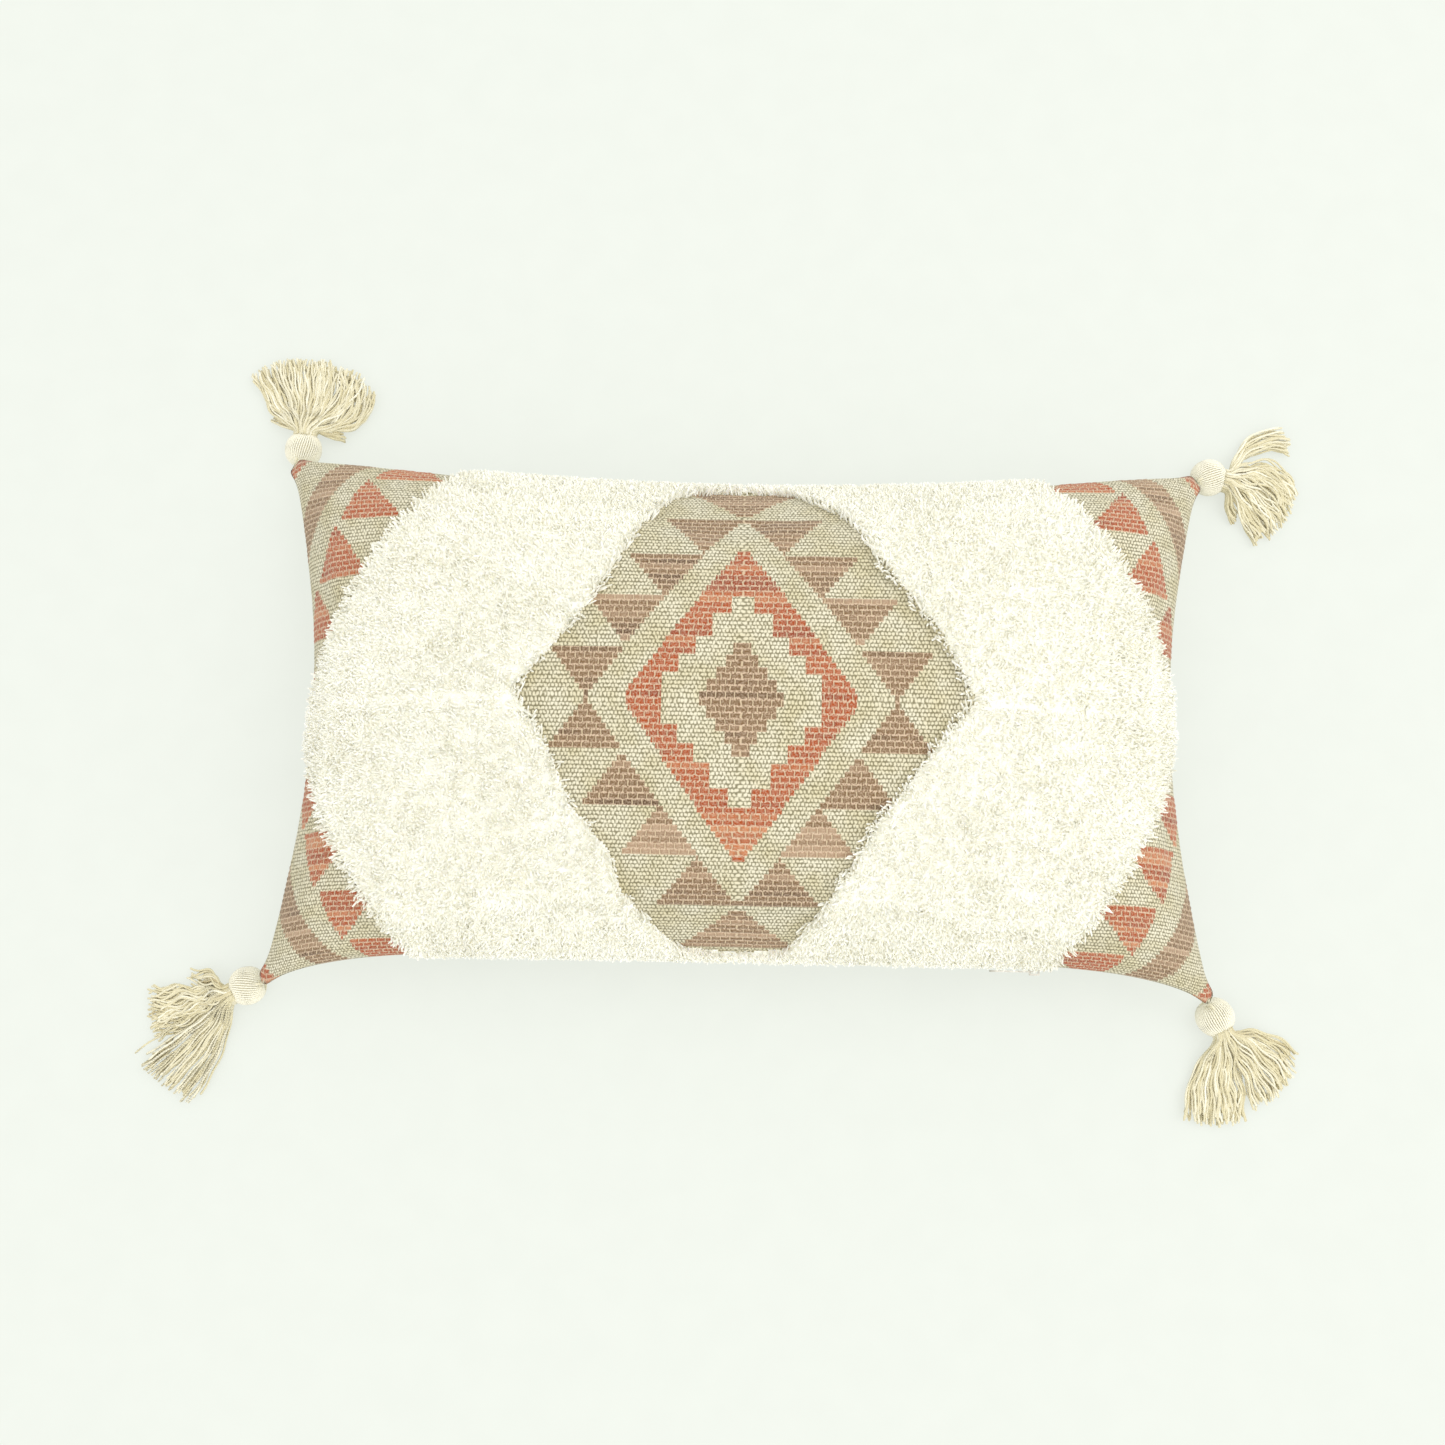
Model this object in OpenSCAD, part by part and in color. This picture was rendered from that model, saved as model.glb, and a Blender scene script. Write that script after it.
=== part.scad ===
// Rectangular throw pillow: a woven zip-off cover with a tufted pile field round a woven
// window, a tassel on each corner, and a separate filled insert.
// The pillow lies on its back panel: Z = 0 is the flat patch it rests on, +Z is the front
// face, X runs along the long side, and the zip is in the -Y seam.

/* [Cover] */
// Corner to corner along the long side, filled
cover_length = 580; // [540:1:620]
// Corner to corner across the short side, filled
cover_width = 330; // [310:1:350]
// How far each short side pulls in at its middle, as a share of half the length
side_pull = 0.095; // [0.08:0.001:0.11]
// How far each long side pulls in at its middle, as a share of half the width
edge_pull = 0.13; // [0.12:0.001:0.14]
// Height of the crown of the front panel
crown_height = 126; // [118:1:134]
// Height of the side seam at the middle of each side
seam_height = 46; // [42:1:52]
// Height of the side seam at the corners
corner_height = 24; // [23:0.5:30]
// How much further down the back panel would bulge if nothing were under it
belly = 14; // [8:1:24]
// Thickness of the woven cloth
cloth = 1.2; // [0.8:0.1:1.6]

/* [Tufting] */
// Height of the cut pile
pile_height = 9; // [5:0.5:10]
// Length of the oval tufted field
pile_length = 540; // [500:1:550]
// Width that the oval field would have if the panel did not cut it off
pile_width = 400; // [360:1:420]
// Length of the woven window, tip to tip
window_length = 252; // [200:1:280]
// Width of the woven window between its flat ends
window_width = 272; // [240:1:276]
// Length of each flat end of the window
window_flat = 74; // [40:1:90]

/* [Insert] */
// Gap between the cover and the insert at the crown
insert_gap = 1.2; // [0.6:0.1:2]
// How far the insert stops short of the cover's seam at the ends
insert_short_x = 12; // [8:1:20]
// How far the insert stops short of the cover's seam along the long sides
insert_short_y = 15; // [14:1:20]
// Thickness of the insert's casing
casing = 0.8; // [0.5:0.1:1]

/* [Zipper] */
// Length of the coil
zip_length = 370; // [300:2:380]
// How far the tapes sit inside the cover's edge
zip_inset = 5.2; // [5:0.1:5.4]
// Width of each tape
tape_width = 9; // [8:0.5:9.5]
// Radius of each coil row
coil_radius = 1.15; // [0.9:0.05:1.3]
// Gap between the two coil rows
coil_gap = 0.9; // [0.8:0.1:1.2]

/* [Tassels] */
// Radius of the wrapped head
head_radius = 9; // [8:0.1:9.5]
// Distance of the head's centre from the corner
head_reach = 11.5; // [11:0.1:14]
// Length of the wrapped neck
neck_length = 5; // [4:0.1:6]

/* [Hidden] */

half_x = cover_length / 2;
half_y = cover_width / 2;
// Distance of the zipped edge from the middle of the cover, and of the tapes' outer faces
edge_y = half_y * (1 - edge_pull);
zip_y = edge_y - zip_inset;
cream = [0.86, 0.80, 0.68];
pile_cream = [0.91, 0.86, 0.76];
cotton = [0.90, 0.85, 0.72];
tape_colour = [0.80, 0.74, 0.64];

// Cells of the cover's and of the insert's surface mesh, along X and along Y
COVER = [32, 24];
INSERT = [20, 14];
seam_gap = 1.0;

// Each corner: its side in X and in Y, the way the tassel's head lies in degrees from +X,
// half the spread of its skirt in degrees, the reach of the skirt from the head's centre,
// and how far the skirt turns away from the line of the head, in degrees
TOP_LEFT = [-1, 1, 86, 34, 56, 0];
TOP_RIGHT = [1, 1, 30, 40, 60, -42];
BOTTOM_LEFT = [-1, -1, 190, 22, 76, 22];
BOTTOM_RIGHT = [1, -1, -50, 34, 68, -14];

// ---- Surface of the filled cover; u and v run from -1 to 1 across the panel ----

// Share of the full bulge at a place on the panel: flat ears at the corners, steep at the seam
function bulge(u, v) =
    pow(max(0, 1 - pow(abs(u), 3)), 0.6) * pow(max(0, 1 - pow(abs(v), 2.2)), 0.6);

// The far long side bows in as one arc; the zipped side stays straight along the zip
function bow(u, v) = 1 - pow(abs(u), v > 0 ? 2 : 6);

function plan(u, v, in_x, in_y) =
    [(half_x - in_x) * u * (1 - side_pull * (1 - v * v)),
     (half_y - in_y) * v * (1 - edge_pull * bow(u, v))];

// Height of the surface midway between the panels: level along the zip, drooping at the corners
function middle_z(u, v, in_x, in_y) =
    seam_height - (seam_height - corner_height)
                  * pow(u * (1 - in_x / half_x), 12) * pow(v * (1 - in_y / half_y), 4);

function front_point(u, v, in_x, in_y, in_z) =
    concat(plan(u, v, in_x, in_y),
           middle_z(u, v, in_x, in_y) + seam_gap / 2
           + (crown_height - seam_height - seam_gap / 2 - in_z) * bulge(u, v));

function back_point(u, v, in_x, in_y, in_z, lowest) =
    concat(plan(u, v, in_x, in_y),
           max(lowest, middle_z(u, v, in_x, in_y) - seam_gap / 2
                       - (seam_height + belly - in_z) * bulge(u, v)));

// Stations crowd towards the seam, where the surface turns fastest
function station(i, count) = sin(90 * (2 * i / count - 1));

// ---- Closed solid between two surfaces that share one mesh of cells ----

module layer(over, under, cells) {
    cols = cells[0];
    rows = cells[1];
    size = (cols + 1) * (rows + 1);
    places = [for (j = [0:rows], i = [0:cols]) [station(i, cols), station(j, rows)]];
    index = function (i, j) j * (cols + 1) + i;
    rim = concat([for (i = [0:cols - 1]) index(i, 0)],
                 [for (j = [0:rows - 1]) index(cols, j)],
                 [for (i = [cols:-1:1]) index(i, rows)],
                 [for (j = [rows:-1:1]) index(0, j)]);
    top_faces = [for (j = [0:rows - 1], i = [0:cols - 1], half = [0, 1])
        half == 0 ? [index(i, j), index(i, j + 1), index(i + 1, j + 1)]
                  : [index(i, j), index(i + 1, j + 1), index(i + 1, j)]];
    bottom_faces = [for (face = top_faces) [face[2] + size, face[1] + size, face[0] + size]];
    side_faces = [for (k = [0:len(rim) - 1], half = [0, 1])
        let (a = rim[k], b = rim[(k + 1) % len(rim)])
        half == 0 ? [a, b, b + size] : [a, b + size, a + size]];
    polyhedron(points = concat([for (p = places) over(p[0], p[1])],
                               [for (p = places) under(p[0], p[1])]),
               faces = concat(top_faces, bottom_faces, side_faces), convexity = 6);
}

// Keeps what is above the surface that the pillow lies on
module above_ground() {
    intersection() {
        children();
        translate([-half_x - 10, -half_y - 10, 0])
            cube([cover_length + 20, cover_width + 20, crown_height + 20]);
    }
}

// ---- Cover ----

// Solid under the front panel's outer face, or under its inner face with inset = cloth
module panel_dome(inset, below) {
    layer(function (u, v) front_point(u, v, inset, inset, inset),
          function (u, v) concat(plan(u, v, inset, inset),
                                 middle_z(u, v, inset, inset) + seam_gap / 2 - below), COVER);
}

module front_panel() {
    color(cream)
        difference() {
            panel_dome(0, 0.1);
            panel_dome(cloth, 1);
        }
}

// The patch that the pillow rests on is cut flat at Z = 0
module back_panel() {
    color(cream)
        above_ground()
            layer(function (u, v) back_point(u, v, cloth, cloth, cloth, cloth),
                  function (u, v) back_point(u, v, 0, 0, 0, -1), COVER);
}

module window_outline() {
    polygon([[-window_length / 2, 0], [-window_flat / 2, -window_width / 2],
             [window_flat / 2, -window_width / 2], [window_length / 2, 0],
             [window_flat / 2, window_width / 2], [-window_flat / 2, window_width / 2]]);
}

// Height of the strip above the zipped seam that stays free of pile, for the slider to pass
pile_start = 6;

module tufted_pile() {
    color(pile_cream)
        difference() {
            layer(function (u, v) front_point(u, v, -pile_height, -pile_height, -pile_height),
                  function (u, v) front_point(u, v, 0, 0, 0), COVER);
            difference() {
                translate([-half_x - 50, -half_y - 50, -10])
                    cube([cover_length + 100, cover_width + 100, crown_height + 60]);
                translate([0, 0, -20])
                    linear_extrude(crown_height + 80)
                        scale([pile_length / 2, pile_width / 2]) circle(1, $fn = 72);
            }
            translate([0, 0, -10]) linear_extrude(crown_height + 60) window_outline();
            translate([-half_x, -half_y - 40, 0])
                cube([cover_length, half_y + 50 - edge_y, seam_height + pile_start]);
        }
}

// Index of the cover's mesh cell where the zip ends and the sewn seam starts
zip_cell = 8;
allowance_width = 9;
allowance_thick = 0.6;

// The two panels' turned-in edges, sewn together all round except along the zip
module seam_allowance() {
    cols = COVER[0];
    rows = COVER[1];
    path = concat([for (i = [cols - zip_cell:cols - 1]) [station(i, cols), -1]],
                  [for (j = [0:rows - 1]) [1, station(j, rows)]],
                  [for (i = [cols:-1:1]) [station(i, cols), 1]],
                  [for (j = [rows:-1:1]) [-1, station(j, rows)]],
                  [for (i = [0:zip_cell]) [station(i, cols), -1]]);
    count = len(path);
    corner_of = function (p, inset, up)
        concat(plan(p[0], p[1], inset, inset),
               middle_z(p[0], p[1], inset, inset) + up * allowance_thick / 2);
    halfway = allowance_width / 2;
    points = [for (p = path) each [corner_of(p, 0, 1), corner_of(p, 0, -1),
                                   corner_of(p, halfway, -1), corner_of(p, allowance_width, -1),
                                   corner_of(p, allowance_width, 1), corner_of(p, halfway, 1)]];
    walls = [for (k = [0:count - 2], s = [0:5], half = [0, 1])
        let (a = 6 * k + s, b = 6 * k + (s + 1) % 6)
        half == 0 ? [a, b, b + 6] : [a, b + 6, a + 6]];
    last = 6 * (count - 1);
    ends = [for (s = [1:4]) each [[0, s + 1, s], [last, last + s, last + s + 1]]];
    color(cream) polyhedron(points = points, faces = concat(walls, ends), convexity = 8);
}

// Blank folded label, sewn into the left seam on the inside
label = [0.5, 30, 10];
label_inset = 7;

module care_label() {
    color("white")
        translate([-half_x * (1 - side_pull) + label_inset, -label[1] / 2,
                   seam_height + seam_gap / 2 + 0.2])
            cube(label);
}

// ---- Insert ----

// Solid under the front casing's outer face, or its inner face with more = casing
module insert_dome(more, below) {
    in_x = insert_short_x + more;
    in_y = insert_short_y + more;
    layer(function (u, v) front_point(u, v, in_x, in_y, cloth + insert_gap + more),
          function (u, v) concat(plan(u, v, in_x, in_y),
                                 middle_z(u, v, in_x, in_y) + seam_gap / 2 - below), INSERT);
}

module insert_front() {
    color("white")
        difference() {
            insert_dome(0, 0.2);
            insert_dome(casing, 1);
        }
}

module insert_back() {
    inset = cloth + insert_gap;
    color("white")
        layer(function (u, v) back_point(u, v, insert_short_x + casing,
                                         insert_short_y + casing, inset + casing,
                                         inset + casing),
              function (u, v) back_point(u, v, insert_short_x, insert_short_y, inset, inset),
              INSERT);
}

module insert_filling() {
    inset = cloth + insert_gap + casing;
    room = 0.3;
    in_x = insert_short_x + casing + room;
    in_y = insert_short_y + casing + room;
    color("white")
        layer(function (u, v) front_point(u, v, in_x, in_y, inset + room),
              function (u, v) back_point(u, v, in_x, in_y, inset + room, inset + room),
              INSERT);
}

// ---- Zipper ----

tape_thick = 0.6;
tape_over = 10;
stop_length = 4;

// Side is 1 for the tape sewn to the front panel and -1 for the back panel's
module zipper_tape(side) {
    low = side > 0 ? coil_gap / 2 : -coil_gap / 2 - tape_width;
    color(tape_colour)
        translate([-zip_length / 2 - tape_over, -zip_y, seam_height + low])
            cube([zip_length + 2 * tape_over, tape_thick, tape_width]);
}

module zipper_coil(side) {
    color(tape_colour)
        translate([-zip_length / 2, -zip_y + tape_thick + coil_radius,
                   seam_height + side * (coil_gap / 2 + coil_radius)])
            rotate([0, 90, 0]) cylinder(r = coil_radius, h = zip_length, $fn = 32);
}

stop_y = 2 * coil_radius;

// One small stop above each coil row at the closed end
module zipper_top_stops() {
    color("silver")
        for (side = [-1, 1])
            translate([zip_length / 2 + 0.1, -zip_y + tape_thick,
                       seam_height + side * (coil_gap / 2 + coil_radius) - coil_radius])
                cube([stop_length, stop_y, 2 * coil_radius]);
}

// One stop across both rows at the open end
module zipper_bottom_stop() {
    color("silver")
        translate([-zip_length / 2 - stop_length - 0.1, -zip_y + tape_thick,
                   seam_height - coil_gap / 2 - 2 * coil_radius])
            cube([stop_length, stop_y, coil_gap + 4 * coil_radius]);
}

// Centre of the slider when the zip is closed
slider_x = zip_length / 2 - 6;
slider_length = 9;
plate = 1.0;
post_thick = 0.5;
// How far the slider's outer plate stands off the middle of the zipped edge, to pass its ends
edge_room = 2.6;
outside_y = edge_y + edge_room;
bail_depth = 3.6;

module zipper_slider() {
    inner_y = -zip_y + tape_thick + 2 * coil_radius + 0.35;
    half_height = coil_gap / 2 + 2 * coil_radius + 0.35;
    color("silver")
        translate([slider_x, 0, seam_height]) {
            // Inner plate and its two side flanges, round the coil rows
            translate([-slider_length / 2, inner_y, -half_height - plate])
                cube([slider_length, plate, 2 * (half_height + plate)]);
            for (side = [-1, 1])
                translate([-slider_length / 2, inner_y - 2,
                           side * (half_height + plate / 2) - plate / 2])
                    cube([slider_length, 2 + plate / 2, plate]);
            // Post that passes between the rows and out through the seam
            translate([-1.5, -outside_y - plate, -post_thick / 2])
                cube([3, outside_y + inner_y + plate + 0.2, post_thick]);
            // Outer plate
            translate([-slider_length / 2, -outside_y - plate, -2.2])
                cube([slider_length, plate, 4.4]);
            // Bail, a bridge that holds the pull
            translate([0, -outside_y - plate + 0.1, -0.6])
                linear_extrude(1.2)
                    difference() {
                        polygon([[-3.6, 0], [-3, -bail_depth], [3, -bail_depth], [3.6, 0]]);
                        polygon([[-2.4, -0.8], [-2, -bail_depth + 1.1],
                                 [2, -bail_depth + 1.1], [2.4, -0.8]]);
                    }
        }
}

// Where the pull turns on the bail
pull_y = -outside_y - plate - 1.3;
pull_length = 24;
pull_thick = 0.9;
eye_bar = 1;
eye_length = 4.2;

// Tab with a square eye round the bail's bridge, lying back along the zip
module zipper_pull() {
    color("silver")
        translate([slider_x, pull_y, seam_height])
            rotate([90, 0, 0])
                translate([0, 0, -pull_thick / 2])
                    linear_extrude(pull_thick)
                        difference() {
                            hull() {
                                translate([-eye_bar / 2, -1.6]) square([eye_bar, 3.2]);
                                translate([-pull_length, 0]) circle(3, $fn = 32);
                            }
                            translate([-eye_bar / 2 - eye_length, -0.9])
                                square([eye_length, 1.8]);
                        }
}

// ---- Tassels ----

loop_ring = 2.2;
loop_cord = 0.7;
// Height of the hinge between loop and head, and of the head's centre
hinge_z = 20;
head_z = head_radius + 0.5;
hinge_reach = 4.5;
neck_radius = 5;
binding_thick = 1.6;

// Moves its children to a corner, with +X the way that corner's tassel lies
module at_corner(corner) {
    translate([corner[0] * half_x, corner[1] * half_y, 0]) rotate([0, 0, corner[2]]) children();
}

// Moves its children to the centre line of a corner's skirt, at the head's centre
module at_skirt(corner) {
    at_corner(corner) translate([head_reach, 0, 0]) rotate([0, 0, corner[5]]) children();
}

// Cord ring sewn on at the corner
module tassel_loop(corner) {
    color(cotton)
        at_corner(corner)
            translate([loop_ring + loop_cord + 0.3, 0, hinge_z + 1.2])
                rotate([90, 0, 0])
                    rotate_extrude($fn = 48) translate([loop_ring, 0]) circle(loop_cord, $fn = 24);
}

module tassel_head(corner) {
    color(cotton)
        at_corner(corner)
            translate([head_reach, 0, head_z]) sphere(head_radius, $fn = 48);
}

neck_start = head_radius + 0.1;

module tassel_binding(corner) {
    color(cotton)
        at_skirt(corner)
            translate([neck_start + 0.4, 0, head_z])
                rotate([0, 90, 0])
                    difference() {
                        cylinder(r = neck_radius + binding_thick, h = neck_length - 1, $fn = 48);
                        translate([0, 0, -1])
                            cylinder(r = neck_radius + 0.05, h = neck_length + 2, $fn = 48);
                    }
}

skirt_floor = 0.4;
tip_height = 7;
tip_radius = 5;

// Fan of yarn ends that lies on the surface under the pillow
module tassel_skirt(corner) {
    spread = corner[3];
    reach = corner[4];
    fan_x = neck_start + neck_length;
    color(cotton)
        at_skirt(corner) {
            translate([neck_start, 0, head_z])
                rotate([0, 90, 0]) cylinder(r = neck_radius, h = neck_length + 1, $fn = 32);
            hull() {
                translate([fan_x, 0, head_z])
                    rotate([0, 90, 0]) cylinder(r = neck_radius + 2, h = 3, $fn = 24);
                for (step = [-1:0.5:1])
                    rotate([0, 0, step * spread])
                        translate([reach - tip_radius, 0, skirt_floor])
                            cylinder(r = tip_radius, h = tip_height + 3 * (1 - abs(step)),
                                     $fn = 16);
            }
        }
}

front_panel();
back_panel();
tufted_pile();
seam_allowance();
insert_front();
insert_back();
insert_filling();
care_label();
zipper_tape(1);  // zipper_tape_upper
zipper_tape(-1);  // zipper_tape_lower
zipper_coil(1);  // zipper_coil_upper
zipper_coil(-1);  // zipper_coil_lower
zipper_top_stops();
zipper_bottom_stop();
zipper_slider();
zipper_pull();
tassel_loop(TOP_LEFT);  // tassel_loop_top_left
tassel_head(TOP_LEFT);  // tassel_head_top_left
tassel_binding(TOP_LEFT);  // tassel_binding_top_left
tassel_skirt(TOP_LEFT);  // tassel_skirt_top_left
tassel_loop(TOP_RIGHT);  // tassel_loop_top_right
tassel_head(TOP_RIGHT);  // tassel_head_top_right
tassel_binding(TOP_RIGHT);  // tassel_binding_top_right
tassel_skirt(TOP_RIGHT);  // tassel_skirt_top_right
tassel_loop(BOTTOM_LEFT);  // tassel_loop_bottom_left
tassel_head(BOTTOM_LEFT);  // tassel_head_bottom_left
tassel_binding(BOTTOM_LEFT);  // tassel_binding_bottom_left
tassel_skirt(BOTTOM_LEFT);  // tassel_skirt_bottom_left
tassel_loop(BOTTOM_RIGHT);  // tassel_loop_bottom_right
tassel_head(BOTTOM_RIGHT);  // tassel_head_bottom_right
tassel_binding(BOTTOM_RIGHT);  // tassel_binding_bottom_right
tassel_skirt(BOTTOM_RIGHT);  // tassel_skirt_bottom_right
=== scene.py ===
"""Visual model of the throw pillow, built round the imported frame.

Lengths in the shape code are in millimetres, as in part.scad; mesh_object() turns them into
metres. s and t are the places on the front panel's flat cloth, measured from its centre.
"""
import math

import bpy
import numpy as np
from mathutils import Matrix, Vector


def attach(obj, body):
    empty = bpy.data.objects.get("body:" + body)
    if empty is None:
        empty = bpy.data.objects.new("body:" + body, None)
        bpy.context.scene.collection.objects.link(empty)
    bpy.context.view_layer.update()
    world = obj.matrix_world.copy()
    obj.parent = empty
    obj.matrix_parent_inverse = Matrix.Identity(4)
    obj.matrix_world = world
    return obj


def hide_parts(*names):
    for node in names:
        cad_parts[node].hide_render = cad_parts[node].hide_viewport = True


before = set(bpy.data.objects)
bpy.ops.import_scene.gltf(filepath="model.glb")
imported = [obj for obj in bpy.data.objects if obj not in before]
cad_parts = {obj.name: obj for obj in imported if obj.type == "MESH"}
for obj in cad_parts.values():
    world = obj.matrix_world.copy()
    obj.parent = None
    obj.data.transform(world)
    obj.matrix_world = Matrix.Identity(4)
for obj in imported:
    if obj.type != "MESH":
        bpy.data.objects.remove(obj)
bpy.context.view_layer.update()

MM = 0.001
rng = np.random.default_rng(7)

# ---- The filled cover's surface, as in part.scad ----

HALF_X, HALF_Y = 290.0, 165.0
SIDE_PULL, EDGE_PULL = 0.095, 0.13
CROWN, SEAM_Z, CORNER_Z, BELLY = 126.0, 46.0, 24.0, 14.0
CLOTH = 1.2
SEAM_GAP = 1.0
INSERT_GAP = 1.2
INSERT_SHORT_X, INSERT_SHORT_Y = 12.0, 15.0
CASING = 0.8
EDGE_Y = HALF_Y * (1 - EDGE_PULL)
ZIP_Y = EDGE_Y - 5.2
ZIP_LENGTH = 370.0
PILE_HEIGHT, PILE_FOOT = 9.0, 3.6


def bulge(u, v):
    across = np.clip(1 - np.abs(u) ** 3, 0, None) ** 0.6
    along = np.clip(1 - np.abs(v) ** 2.2, 0, None) ** 0.6
    return across * along


def plan(u, v, in_x=0.0, in_y=0.0):
    bow = 1 - np.where(v > 0, np.abs(u) ** 2, np.abs(u) ** 6)
    x = (HALF_X - in_x) * u * (1 - SIDE_PULL * (1 - v * v))
    y = (HALF_Y - in_y) * v * (1 - EDGE_PULL * bow)
    return x, y


def middle_z(u, v, in_x=0.0, in_y=0.0):
    droop = (u * (1 - in_x / HALF_X)) ** 12 * (v * (1 - in_y / HALF_Y)) ** 4
    return SEAM_Z - (SEAM_Z - CORNER_Z) * droop


def front_point(u, v, in_x=0.0, in_y=0.0, in_z=0.0):
    x, y = plan(u, v, in_x, in_y)
    rise = CROWN - SEAM_Z - SEAM_GAP / 2 - in_z
    z = middle_z(u, v, in_x, in_y) + SEAM_GAP / 2 + rise * bulge(u, v)
    return np.stack([x, y, z], -1)


def back_point(u, v, in_x=0.0, in_y=0.0, in_z=0.0, lowest=0.0):
    x, y = plan(u, v, in_x, in_y)
    z = middle_z(u, v, in_x, in_y) - SEAM_GAP / 2 - (SEAM_Z + BELLY - in_z) * bulge(u, v)
    # The edge of the resting patch is a soft bend, not a crease
    soft = 2.5
    z = lowest + soft * np.logaddexp(0, (z - lowest) / soft) - soft * math.log(2) * np.exp(
        -np.abs(z - lowest) / 30)
    return np.stack([x, y, np.maximum(z, lowest)], -1)


TIP_AXIS, TIP_SLOPE, TIP_ROUND, TIP_FADE = (0.79, 0.61), 0.6, 4.0, 5.0


def round_tips(points):
    """Widen the sharp corners of the plan into blunt ears, as the tassels' cords draw them."""
    side = np.sign(points[..., :2])
    local = np.array([HALF_X, HALF_Y]) - np.abs(points[..., :2])
    along = local[..., 0] * TIP_AXIS[0] + local[..., 1] * TIP_AXIS[1]
    across = local[..., 1] * TIP_AXIS[0] - local[..., 0] * TIP_AXIS[1]
    near = np.maximum(along, 1e-3)
    across = across * (1 + TIP_ROUND * np.exp(-near / TIP_FADE) / (TIP_SLOPE * np.sqrt(near)))
    local = np.stack([along * TIP_AXIS[0] - across * TIP_AXIS[1],
                      along * TIP_AXIS[1] + across * TIP_AXIS[0]], -1)
    flat = side * (np.array([HALF_X, HALF_Y]) - local)
    return np.concatenate([flat, points[..., 2:]], -1)


# ---- Cloth coordinates: even arc length along both directions of the surface ----

CLOTH_S, CLOTH_T = 297.5, 178.5


class ClothMap:
    """Finds the surface parameters u, v of places s, t on the flat cloth."""

    def __init__(self, point, steps=241, samples=201):
        self.line = np.sin(np.linspace(-math.pi / 2, math.pi / 2, steps))
        self.samples = samples
        surface = point(*np.meshgrid(self.line, self.line))
        even = np.linspace(-1, 1, samples)
        self.u_table = self.invert(surface, even)
        self.v_table = self.invert(surface.transpose(1, 0, 2), even)

    def invert(self, surface, even):
        step = np.linalg.norm(np.diff(surface, axis=1), axis=2)
        arc = np.concatenate([np.zeros((len(self.line), 1)), np.cumsum(step, 1)], 1)
        arc -= arc[:, len(self.line) // 2][:, None]
        share = np.where(arc >= 0, arc / arc[:, -1:], arc / -arc[:, :1])
        return np.array([np.interp(even, row, self.line) for row in share])

    def look_up(self, table, row, col):
        r = (np.arcsin(np.clip(row, -1, 1)) / math.pi + 0.5) * (len(self.line) - 1)
        c = (np.clip(col, -1, 1) + 1) / 2 * (self.samples - 1)
        i = np.clip(r.astype(int), 0, len(self.line) - 2)
        j = np.clip(c.astype(int), 0, self.samples - 2)
        a, b = r - i, c - j
        low = table[i, j] * (1 - b) + table[i, j + 1] * b
        high = table[i + 1, j] * (1 - b) + table[i + 1, j + 1] * b
        return low * (1 - a) + high * a

    def uv(self, s, t):
        s, t = np.asarray(s, float) / CLOTH_S, np.asarray(t, float) / CLOTH_T
        u, v = s.copy(), t.copy()
        for _ in range(12):
            u, v = self.look_up(self.u_table, v, s), self.look_up(self.v_table, u, t)
        return u, v


front_map = ClothMap(front_point)
back_map = ClothMap(back_point)

# ---- Smooth seeded noise on the cloth, from 0 to 1 ----


def noise_field(cell, seed, reach=340):
    count = int(2 * reach / cell) + 4
    grid = np.random.default_rng(seed).random((count, count))

    def sample(s, t):
        x = (np.asarray(s, float) + reach) / cell
        y = (np.asarray(t, float) + reach) / cell
        i, j = np.clip(x.astype(int), 0, count - 2), np.clip(y.astype(int), 0, count - 2)
        a, b = x - i, y - j
        a, b = a * a * (3 - 2 * a), b * b * (3 - 2 * b)
        return ((grid[i, j] * (1 - a) + grid[i + 1, j] * a) * (1 - b)
                + (grid[i, j + 1] * (1 - a) + grid[i + 1, j + 1] * a) * b)
    return sample


# ---- Mesh helpers ----


def mesh_object(name, points, faces, material, body, attributes=(), smooth=True):
    """Object from points in mm and equal-sized faces, or a list of such face arrays."""
    faces = [np.asarray(f) for f in (faces if isinstance(faces, list) else [faces])]
    corners = np.concatenate([f.ravel() for f in faces])
    sizes = np.concatenate([np.full(len(f), f.shape[1]) for f in faces])
    starts = np.concatenate([[0], np.cumsum(sizes)[:-1]])
    mesh = bpy.data.meshes.new(name)
    mesh.vertices.add(len(points))
    mesh.vertices.foreach_set("co", (np.asarray(points) * MM).astype(np.float32).ravel())
    mesh.loops.add(len(corners))
    mesh.loops.foreach_set("vertex_index", corners.astype(np.int32))
    mesh.polygons.add(len(sizes))
    mesh.polygons.foreach_set("loop_start", starts.astype(np.int32))
    mesh.polygons.foreach_set("use_smooth", np.full(len(sizes), smooth))
    for label, kind, domain, values in attributes:
        layer = mesh.attributes.new(label, kind, domain)
        field = {"FLOAT": "value", "FLOAT_VECTOR": "vector", "FLOAT_COLOR": "color"}[kind]
        layer.data.foreach_set(field, np.asarray(values, np.float32).ravel())
    mesh.update(calc_edges=True)
    mesh.materials.append(material)
    obj = bpy.data.objects.new(name, mesh)
    bpy.context.scene.collection.objects.link(obj)
    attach(obj, body)
    return obj


def grid_faces(rows, cols):
    index = np.arange(rows * cols).reshape(rows, cols)
    return np.stack([index[:-1, :-1], index[:-1, 1:], index[1:, 1:], index[1:, :-1]],
                    -1).reshape(-1, 4)


def rim_of(index):
    return np.concatenate([index[0, :-1], index[:-1, -1], index[-1, :0:-1], index[:0:-1, 0]])


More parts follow.
